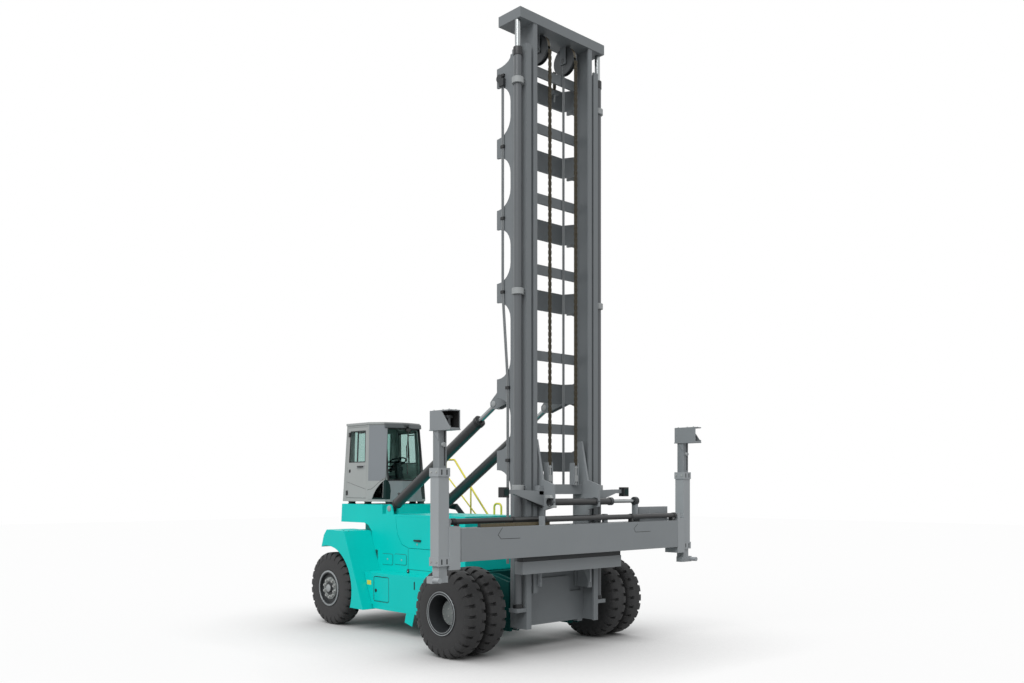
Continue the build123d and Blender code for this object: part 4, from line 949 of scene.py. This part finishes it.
def cab_front():
    """Seals, dark low corners, skirt, fairings, creases and visor round the windscreen; the creases are
    black strips of painted shade.
    """
    seals, frit, visor, skirt, crease, fairing, corner = (bmesh.new() for _ in range(7))
    for side in (-1, 1):
        for z in (2744, 3736):
            add_wall_line(seals, "nose", side, [(pane_edge(416, z), z), (352, z)], 22, (-4, 4))
            add_wall_line(seals, "front", side, [(0, z), (145, z)], 22, (-4, 4))
        edge = [(pane_edge(402, z), z) for z in (2735, 3100, 3450, 3746)]
        add_wall_line(seals, "nose", side, edge, 34, (-14, 4))
        add_wall_line(seals, "corner", side, [(383, z) for z in (2790, 3200, 3800)], 5, (-3, 1.2))

        post = [(331, 2380), (384, 2380), (384, 2764), (331, 2734)]
        add_on_wall(frit, "corner", side, post, PRINT)
        foot = [(96, 2380), (334, 2380), (334, 2408), (106, 2408)]
        add_on_wall(frit, "corner", side, foot, PRINT)
        horn = [(0, 2380), (96, 2380), (112, 2540), (100, 2660), (60, 2738), (0, 2764)]
        add_on_wall(frit, "nose", side, horn, PRINT)

        arch = [(96, 2380), (128, 2470), (180, 2570), (250, 2660), (331, 2734)]
        for (a, b), (c, d) in zip(arch, arch[1:]):
            add_on_wall(fairing, "corner", side, [(12, b), (a, b), (c, d), (12, d)], (-2, 5))
        apron = [(98, 2352), (352, 2352), (352, 2728), (66, 2728), (102, 2662), (114, 2540)]
        add_on_wall(skirt, "nose", side, apron, (-2, 2))
        add_wall_box(skirt, "front", side, (0, 140), (2352, 2728), (-2, 2))
        above = [(10, 2600), (90, 2594), (200, 2684), (300, 2764), (376, 2800)]
        add_on_wall(corner, "corner", side, above + [(376, 3806), (10, 3806)], (-2, 2))
        # Crease in the skirt drawn as a black strip: painted shade
        curve = [(0, 2560), (90, 2580), (200, 2670), (300, 2750), (383, 2786)]
        add_wall_line(crease, "corner", side, curve, 6, (-3, 6.5))
        add_wall_box(visor, "nose", side, (4, 352), (3752, 3834), (-4, 52))
        add_wall_box(visor, "front", side, (-12, 150), (3752, 3834), (-4, 52))
    on("cab_shell", "window_seals", seals, SEAL_BLACK)
    on("cab_shell", "low_window_frit", frit, GLASS_FRIT, 0.0, "window_glass")
    on("cab_shell", "front_skirt", skirt, SPREADER_GREY, 2)
    on("cab_shell", "corner_fairings", fairing, CAB_GREY)
    on("cab_shell", "corner_panels", corner, CORNER_GREY)
    on("cab_shell", "skirt_crease_shade", crease, SEAL_BLACK)
    on("cab_shell", "sun_visor", visor, LIFT_GREY, 6)


def cab_lining():
    """Pale sheets inside the walls, floor and roof."""
    lining = bmesh.new()
    for side in (-1, 1):
        for wall, along, z in (
            ("rear", (446, 588), (2392, 3800)), ("rear", (0, 447), (2392, 2892)),
            ("rear", (0, 447), (3706, 3800)), ("corner", (20, 360), (2745, 3800)),
            ("corner", (20, 49), (2392, 2745)), ("corner", (335, 360), (2392, 2745)),
            ("nose", (20, 350), (2392, 2732)), ("front", (0, 140), (2392, 2732)),
            ("side", (50, 104), (2392, 3800)),
        ):
            add_wall_box(lining, wall, side, along, z, LINED)
    for z, reach in ((2382, 0.03), (3798, 0.96)):
        height = CAB_FLOOR + reach * (CAB_ROOF - CAB_FLOOR)
        plan = [wall_spot(wall, 1, a, height, -52)[:2]
                for wall, a in (("side", 50), ("corner", 0), ("corner", 384), ("front", 0))]
        outline = plan + [(-x, y) for x, y in reversed(plan)]
        add_prism(lining, outline, (z, z + 9), "Z")
    on("cab_shell", "cab_lining", lining, LINING)


def cab_fittings():
    """Wiper on the screen, and rubber mounts under the cab."""
    wiper = bmesh.new()
    add_wall_box(wiper, "front", -1, (90, 190), (3690, 3748), (4, 40))
    top = wall_spot("front", -1, 140, 3715, 34)
    for a, z in ((92, 3210), (124, 3180)):
        add_rod(wiper, top, wall_spot("front", -1, a, z, 22), 6, 8)
    blade = [wall_spot("front", -1, a, z, 16) for a, z in ((100, 3420), (116, 2860))]
    add_rod(wiper, *blade, 9, 8)
    on("cab_shell", "wiper", wiper, ABS_BLACK)
    mounts = bmesh.new()
    profile = [(0, 46), (0, 78), (8, 80), (20, 66), (32, 66), (44, 74), (50, 74), (50, 46)]
    for x, y in ((540, 4600), (540, 4050), (380, 3580)):
        for side in (-1, 1):
            add_turned(mounts, (side * x, y, DECK_TOP), (0, 0, 1), profile, 24, True)
    on("cab_shell", "cab_mounts", mounts, SEAL_BLACK)


def cushion(name, outline, x):
    """Seat cushion: a rounded block, padded soft."""
    bm = bmesh.new()
    add_prism(bm, outline, x)
    piece = on("cab_seat", name, bm, CLOTH, 34, segments=5)


def cab_seat():
    """Suspension box, cushions and arm rests in place of the plain seat."""
    bm = bmesh.new()
    for i in range(6):
        half = 150 - 6 * (i % 2)
        add_box(bm, (-half, half), (4150, 4450), (2381 + 52 * i, 2433 + 52 * i))
    add_box(bm, (-230, 230), (4080, 4500), (2688, 2722))
    add_prism(bm, [(4440, 2790), (4548, 2790), (4628, 3420), (4560, 3430)], (-200, 200))
    add_box(bm, (-295, 295), (4405, 4495), (2925, 2978))
    on("cab_seat", "seat_frame", bm, ABS_BLACK, 6, stands_for=("cab_seat",))
    boxes("cab_seat", "arm_rests", [
        ((x - 30, x + 30), (4080, 4480), (2941, 3021)) for x in (-300, 300)
    ], ABS_DARK, 16)
    cushion("seat_cushion", [(4052, 2716), (4520, 2716), (4500, 2838), (4080, 2842)], (-258, 258))
    cushion("seat_back", [(4420, 2800), (4500, 2800), (4590, 3428), (4510, 3430)], (-246, 246))


for end, side in BOTH_SIDES:
    door_piece(end, side)
cab_front()
cab_lining()
cab_fittings()
cab_seat()


# Mast

def add_leaf_chain(bm, x, y, z):
    """Leaf chain that hangs from z[1] to z[0]: plates in two staggered sets, with pins."""
    unit = bmesh.new()
    for row in range(7):
        middle = 25 if row % 2 else 75
        add_prism(unit, rounded((0, middle), (13.5, 37), 13, 2), (8 * row - 27, 8 * row - 20.5))
    for pin in (0, 50):
        add_rod(unit, (-29, 0, pin), (29, 0, pin), 7, 8)
    count = int((z[1] - z[0] - 20) / 100)
    take_in(bm, in_a_row(unit, count, (x, y, z[0] + 15), (0, 0, 0.1)))


def chain_pieces():
    """Leaf chains, their anchor bolts, and the grooved sheaves that they run over."""
    for node, y, z in (
        ("lift_chains", LIFT_CHAIN_Y, (2958, SHEAVE_Z)), ("anchor_chains", FALL_CHAIN_Y, (9224, 9620)),
    ):
        bm = bmesh.new()
        for x in (-CHAIN_X, CHAIN_X):
            add_leaf_chain(bm, x, y, z)
        on(node, "links_of_" + node, bm, CHAIN_BROWN, stands_for=(node,))
    wheels, wrap, anchors, falls = (bmesh.new() for _ in range(4))
    half = [
        (-63, 0), (-63, 39), (-46, 39), (-46, 62), (-40, 66), (-34, 150), (-40, 190), (-40, 224),
        (-33, 225), (-30, 222), (-30, 196),
    ]
    groove = half + [(-along, radius) for along, radius in reversed(half)]
    arc = [pi * i / 18 for i in range(19)]
    outline = [(SHEAVE_Y + 224 * cos(a), SHEAVE_Z + 224 * sin(a)) for a in arc]
    outline += [(SHEAVE_Y + 197 * cos(a), SHEAVE_Z + 197 * sin(a)) for a in reversed(arc)]
    for x in (-CHAIN_X, CHAIN_X):
        add_turned(wheels, (x, SHEAVE_Y, SHEAVE_Z), (1, 0, 0), groove, 48)
        add_prism(wrap, outline, (x - 28, x + 28))
        y = LIFT_CHAIN_Y
        add_box(anchors, (x - 34, x + 34), (y - 21, y + 19), (2700, 2800))
        add_rod(anchors, (x, y, 2640), (x, y, 2960), 18)
        add_rod(anchors, (x - 36, y, 2930), (x + 36, y, 2930), 14)
        y = FALL_CHAIN_Y
        add_box(falls, (x - 24, x + 24), (y - 24, y + 24), (9150, 9228))
        add_rod(falls, (x, y, 9050), (x, y, 9160), 15)
    on("sheaves", "grooved_sheaves", wheels, STEEL_DARK, 0.0, SLOT_OF["sheaves"], ("sheaves",))
    on("sheaves", "chain_wraps", wrap, CHAIN_BROWN)
    on("carriage_frame", "chain_anchors", anchors, PALE_GREY, 3, "bare_steel")
    on("outer_mast", "fall_anchors", falls, PALE_GREY, 3, "bare_steel")


def mast_pipes():
    """Lift pipes down the outside of the uprights, with their clamps and the valve at the top."""
    pipes, clamps, valve = (bmesh.new() for _ in range(3))
    bend = ((0, 9020), (0, 5760), (-20, 5460), (-100, 4500), (-118, 4250), (-118, 1400))
    for side in (-1, 1):
        for y in (-122, -152):
            add_tube(pipes, [(side * PIPE_X, y + back, z) for back, z in bend], 12, 3)
        for z in UPPER_BEAMS_Z:
            add_box(clamps, (side * 826, side * 864), (-176, -98), (z - 24, z + 24))
        for z in (2050, 3038, 4187):
            add_box(clamps, (side * 826, side * 864), (-296, -214), (z - 24, z + 24))
        add_box(valve, (side * 830, side * 885), (-190, -84), (8990, 9110))
        add_rod(valve, (side * 830, -80, 9130), (side * 880, -80, 9130), 62, 24)
    on("mast_side_plates", "lift_pipes", pipes, HOSE_GREY, 0.0, "bare_steel")
    on("mast_side_plates", "pipe_clamps", clamps, ABS_BLACK, 4)
    on("mast_side_plates", "burst_valves", valve, IRON_BLACK, 5)


def lift_details():
    """Pale clamps with bolts, gland collars and foot rings on the lift cylinders."""
    clamps, collars, seats = bmesh.new(), bmesh.new(), []
    ring = [(-48, 65), (-48, 90), (-44, 94.5), (44, 94.5), (48, 90), (48, 65)]
    gland = [(-130, 65), (-126, 72), (-6, 72), (0, 70), (4, 60), (4, 53)]
    foot = [(2, 65), (2, 78), (60, 78), (66, 65)]
    for side in (-1, 1):
        x, y, up = side * LIFT_X, LIFT_Y, (0, 0, 1)
        for share in (0.2415, 0.5765, 0.9354):
            z = FOOT_Z + share * MAST_TALL
            add_turned(clamps, (x, y, z), up, ring, 40, True)
            add_box(clamps, (side * 822, x - side * 64), (y - 54, y + 54), (z - 44, z + 44))
            for dz in (-22, 22):
                seats.append(((x - side * 78, y - 55, z + dz), (0, -1, 0)))
        add_turned(collars, (x, y, LIFT_TOP), up, gland, 40)
        add_turned(collars, (x, y, LIFT_FOOT), up, foot, 40, True)
    on("outer_mast", "cylinder_clamps", clamps, PALE_GREY)
    on("lift_barrels", "cylinder_glands", collars, ABS_BLACK)
    bolt_piece("clamp_bolts", seats, 9, 9, ABS_BLACK, "mast_outer")


def inner_hoses():
    """Two pale hoses down the inner mast, with their fittings."""
    hoses, fittings = bmesh.new(), bmesh.new()
    for x in (270, 298):
        add_rod(hoses, (x, HOSE_Y, 2662), (x, HOSE_Y, 9560), 11, 12)
        add_rod(fittings, (x, HOSE_Y, 2520), (x, HOSE_Y, 2660), 8, 12)
        for z in (2600, 2640, 9560):
            add_rod(fittings, (x, HOSE_Y, z), (x, HOSE_Y, z + 34), 11.5, 6)
    on("inner_mast", "mast_hoses", hoses, HOSE_GREY, 0.0, "dark_plastic")
    on("inner_mast", "hose_fittings", fittings, ZINC)


def tilt_details():
    """Gland collars and ports on the tilt cylinders, and pin heads at both ends."""
    run = Vector((0, EYE_Y - TAIL_Y, EYE_Z - TAIL_Z))
    along = run.normalized()
    gland = [(0, 96), (4, 104), (66, 104), (72, 98), (76, 70), (76, 46)]
    collar = [(0, 60), (-6, 90), (2, 99), (38, 99), (42, 96)]
    for end, side in BOTH_SIDES:
        tail = Vector((side * TILT_X, TAIL_Y, TAIL_Z))
        bm = bmesh.new()
        add_turned(bm, tail + along * (run.length - TILT_MOUTH - 70), run, gland, 36)
        add_turned(bm, tail + along * 168, run, collar, 36)
        port = tail + along * 330 + Vector((0, 60, 80))
        add_rod(bm, port, port + Vector((0, 26, 34)), 22, 12)
        on("tilt_barrel_" + end, "tilt_gland_" + end, bm, ABS_BLACK)
    eye_head = [(-2, 50), (8, 50), (12, 44), (12, 0)]
    tail_head = [(-2, 54), (8, 54), (12, 46), (12, 0)]
    eyes, tails = bmesh.new(), bmesh.new()
    for side in (-1, 1):
        for x, out in ((520, -1), (660, 1)):
            add_turned(eyes, (side * x, EYE_Y, EYE_Z), (side * out, 0, 0), eye_head, 24)
        add_turned(tails, (side * 660, TAIL_Y, TAIL_Z), (side, 0, 0), tail_head, 24)
    on("tilt_lugs", "eye_pin_heads", eyes, PALE_GREY, 0.0, "bare_steel")
    on("chassis_frame", "tail_pin_heads", tails, PALE_GREY, 0.0, "bare_steel")


def foot_panel():
    """Plate with round corners across the foot of the outer mast."""
    bm = bmesh.new()
    add_prism(bm, rounded((0, 790), (455, 350), 70, 5), (-377, -336), "Y")
    on("outer_mast", "foot_panel", bm, MAST_GREY, 5)


foot_panel()
chain_pieces()
mast_pipes()
lift_details()
inner_hoses()
tilt_details()


# Carriage and spreader

def add_face_line(bm, points, wide, y):
    """Strip that follows (x, z) points on a front face at y."""
    for (a, b), (c, d) in zip(points, points[1:]):
        long = hypot(c - a, d - b)
        ux, uz = (c - a) / long * wide / 2, (d - b) / long * wide / 2
        corners = [
            (a - ux + uz, b - uz - ux), (c + ux + uz, d + uz - ux), (c + ux - uz, d + uz + ux),
            (a - ux - uz, b - uz + ux),
        ]
        add_prism(bm, corners, (y - 1.2, y + 3), "Y")


def carriage_details():
    """Lamps, gussets, cheek pegs and slide rail, and the side-shift cylinder's mounts."""
    lamps, lenses, grey, dark = (bmesh.new() for _ in range(4))
    block = [(-760, 2490), (-560, 2490), (-560, 2560), (-700, 2640), (-760, 2640)]
    gusset = [(-735, 1290), (-735, 1050), (-700, 1050), (-560, 1290)]
    for side in (-1, 1):
        add_box(lamps, (side * 1327, side * 1453), (-816, -697), (2455, 2611))
        add_prism(lenses, rounded((side * 1390, 2533), (42, 50), 12, 3), (-822, -814), "Y")
        add_prism(grey, block, (side * 540, side * 640))
        add_prism(grey, gusset, (side * 560, side * 585))
        peg, out = (side * 540, -505, 2770), (side, 0, 0)
        add_turned(dark, peg, out, [(-3, 46), (26, 46), (30, 40), (30, 18)], 24)
        add_turned(grey, peg, out, [(-3, 18), (24, 18), (24, 0)], 16)
        add_rod(dark, (side * 1100, -730, 2520), (side * 560, -730, 2300), 16, 10)
    on("carriage_frame", "lamp_boxes", lamps, ABS_BLACK, 8)
    on("carriage_frame", "lamp_lenses", lenses, GLASS_FRIT, 2, "dark_plastic")
    on("carriage_frame", "carriage_gussets", grey, SPREADER_GREY, 3)
    on("carriage_frame", "carriage_pegs", dark, IRON_BLACK)
    boxes("carriage_frame", "slide_rail", [((-1130, 1130), (-905, -772), (1476, 1553))], IRON_BLACK, 4)

    bm = bmesh.new()
    for x, wide in ((-540, 66), (500, 66), (860, 70)):
        collar = [(0, 56), (2, 66), (wide - 2, 66), (wide, 56)]
        add_turned(bm, (x - wide / 2, SHIFT_Y, SHIFT_Z), (1, 0, 0), collar, 32, True)
    on("side_shift_barrel", "shift_collars", bm, STEEL_DARK)
    bm = bmesh.new()
    add_box(bm, (-560, -480), (-985, -845), (2290, 2330))
    add_prism(bm, [(-985, 2440), (-850, 2440), (-850, 2490), (-950, 2490)], (-600, -545))
    on("carriage_frame", "shift_seat", bm, PALE_GREY, 4)
    seats = [((x, -987, 2310), (0, -1, 0)) for x in (-540, -500)]
    bolt_piece("shift_bolts", seats, 11, 10, ZINC, "carriage")


def beam_details():
    """Slits in the beam's face, energy chain, telescope glands and the shift rod's clamp."""
    bm = bmesh.new()
    for slit in (
        [(-1705, 2020), (-1791, 1916), (-1730, 1857), (-1348, 1855)],
        [(1375, 1993), (1282, 1917), (1322, 1859), (1713, 1860)],
    ):
        add_face_line(bm, slit, 6, BEAM_FRONT)
    on("spreader_beam", "beam_slits", bm, DEEP)
    unit = bmesh.new()
    for y in (-34, 28):
        add_prism(unit, rounded((0, 26), (21, 25), 10, 2), (y, y + 6), "Y")
    add_box(unit, (-12, 12), (-30, 30), (44, 49))
    links = in_a_row(unit, 35, (-2005, -920, BEAM_TOP), (0.0405, 0, 0))
    settle("energy_chain_links", links, CHAIN_PALE, "spreader")

    glands, clamp, chrome = (bmesh.new() for _ in range(3))
    for y, side in ((-1010, 1), (-820, -1)):
        for start, end in ((2400, 2472), (-802, -770), (1250, 1290)):
            wide = end - start
            collar = [(0, 43), (2, 50), (wide - 2, 50), (wide, 43)]
            add_turned(glands, (side * start, y, TELESCOPE_Z), (side, 0, 0), collar, 24, True)
    grip = [(0, 31), (0, 66), (4, 70), (72, 70), (76, 66), (76, 31)]
    add_turned(clamp, (1462, SHIFT_Y, SHIFT_Z), (1, 0, 0), grip, 32, True)
    add_box(clamp, (1440, 1560), (-965, -855), (2020, 2070))
    add_rod(chrome, (890, SHIFT_Y, SHIFT_Z), (1462, SHIFT_Y, SHIFT_Z), 31, 24)
    on("spreader_beam", "telescope_glands", glands, ABS_BLACK)
    on("spreader_beam", "rod_clamp", clamp, IRON_BLACK, 4)
    on("spreader_beam", "shift_rod_chrome", chrome, CHROME, 0.0, "rod_chrome")
    boxes("spreader_beam", "manifold_covers", [
        (x, (-896, -880), (2070, 2250)) for x in ((1620, 1800), (1900, 2380))
    ], SPREADER_GREY, 4)


def leg_details(end, side):
    """Slots and bolts on one leg, and the mouth, lock, flange, sensor and hose of its head; the mouth's
    inner faces are near black with painted shade.
    """
    x = side * LEG_X
    arm, head = "arm_" + end, "head_" + end
    bm, seats = bmesh.new(), []
    for z in (1575, 2818):
        for dx in (-46, 46):
            slot = rounded((x + dx, z), (9, 38), 8, 3)
            add_prism(bm, slot, (LEG_Y - 105.5, LEG_Y - 102), "Y")
        for dy in (-60, 60):
            seats.append(((x - 104.5, LEG_Y + dy, z), (-1, 0, 0)))
            seats.append(((x + 104.5, LEG_Y + dy, z), (1, 0, 0)))
    on(arm, "collar_slots_" + end, bm, DEEP)
    bolt_piece("collar_bolts_" + end, seats, 13, 11, ZINC, arm)

    front, low, top = -1287, 3408, 3673
    # Near-black plates on the inner faces of the head's open mouth: painted shade
    boxes(head, "head_mouth_shade_" + end, [
        ((x - 73, x + 73), (-1074, -1069.5), (low + 19, top - 19)),
        ((x - side * 74.5, x - side * 72), (front + 4, -1070), (low + 20, top - 20)),
        ((x - 73, x + 73), (front + 4, -1070), (top - 20, top - 17.5)),
    ], DEEP)
    hook = bmesh.new()
    add_box(hook, (x - 52, x + 52), (-1180, -1085), (3560, 3600))
    add_rod(hook, (x, -1150, 3440), (x, -1150, 3600), 30, 20)
    on(head, "head_lock_" + end, hook, STEEL_DARK, 4)
    seats = [
        ((x + dx, y, top + 1), (0, 0, 1)) for dx in (-60, 60) for y in (-1230, -1100, -900)
    ]
    bolt_piece("head_bolts_" + end, seats, 11, 10, ZINC, head)
    trim = bmesh.new()
    add_box(trim, (x - 98, x + 98), (front, -834), (low - 14, low + 2))
    add_prism(trim, [(-1020, 3395), (-1020, 3260), (-1012, 3260), (-900, 3395)], (x - 80, x - 66))
    on(head, "head_flange_" + end, trim, SPREADER_GREY, 2)
    knobs(head, "head_sensor_" + end, [(x, -1022, 3200)], (0, -1, 0),
          [(-2, 34), (34, 34), (40, 28), (40, 0)], PALE_GREY, 24, "bare_steel")
    hose = bmesh.new()
    add_rod(hose, (x + 30, -1024, 2910), (x + 30, -1024, 3390), 10, 10)
    on(head, "head_hose_" + end, hose, SEAL_BLACK)


carriage_details()
beam_details()
for end, side in BOTH_SIDES:
    leg_details(end, side)
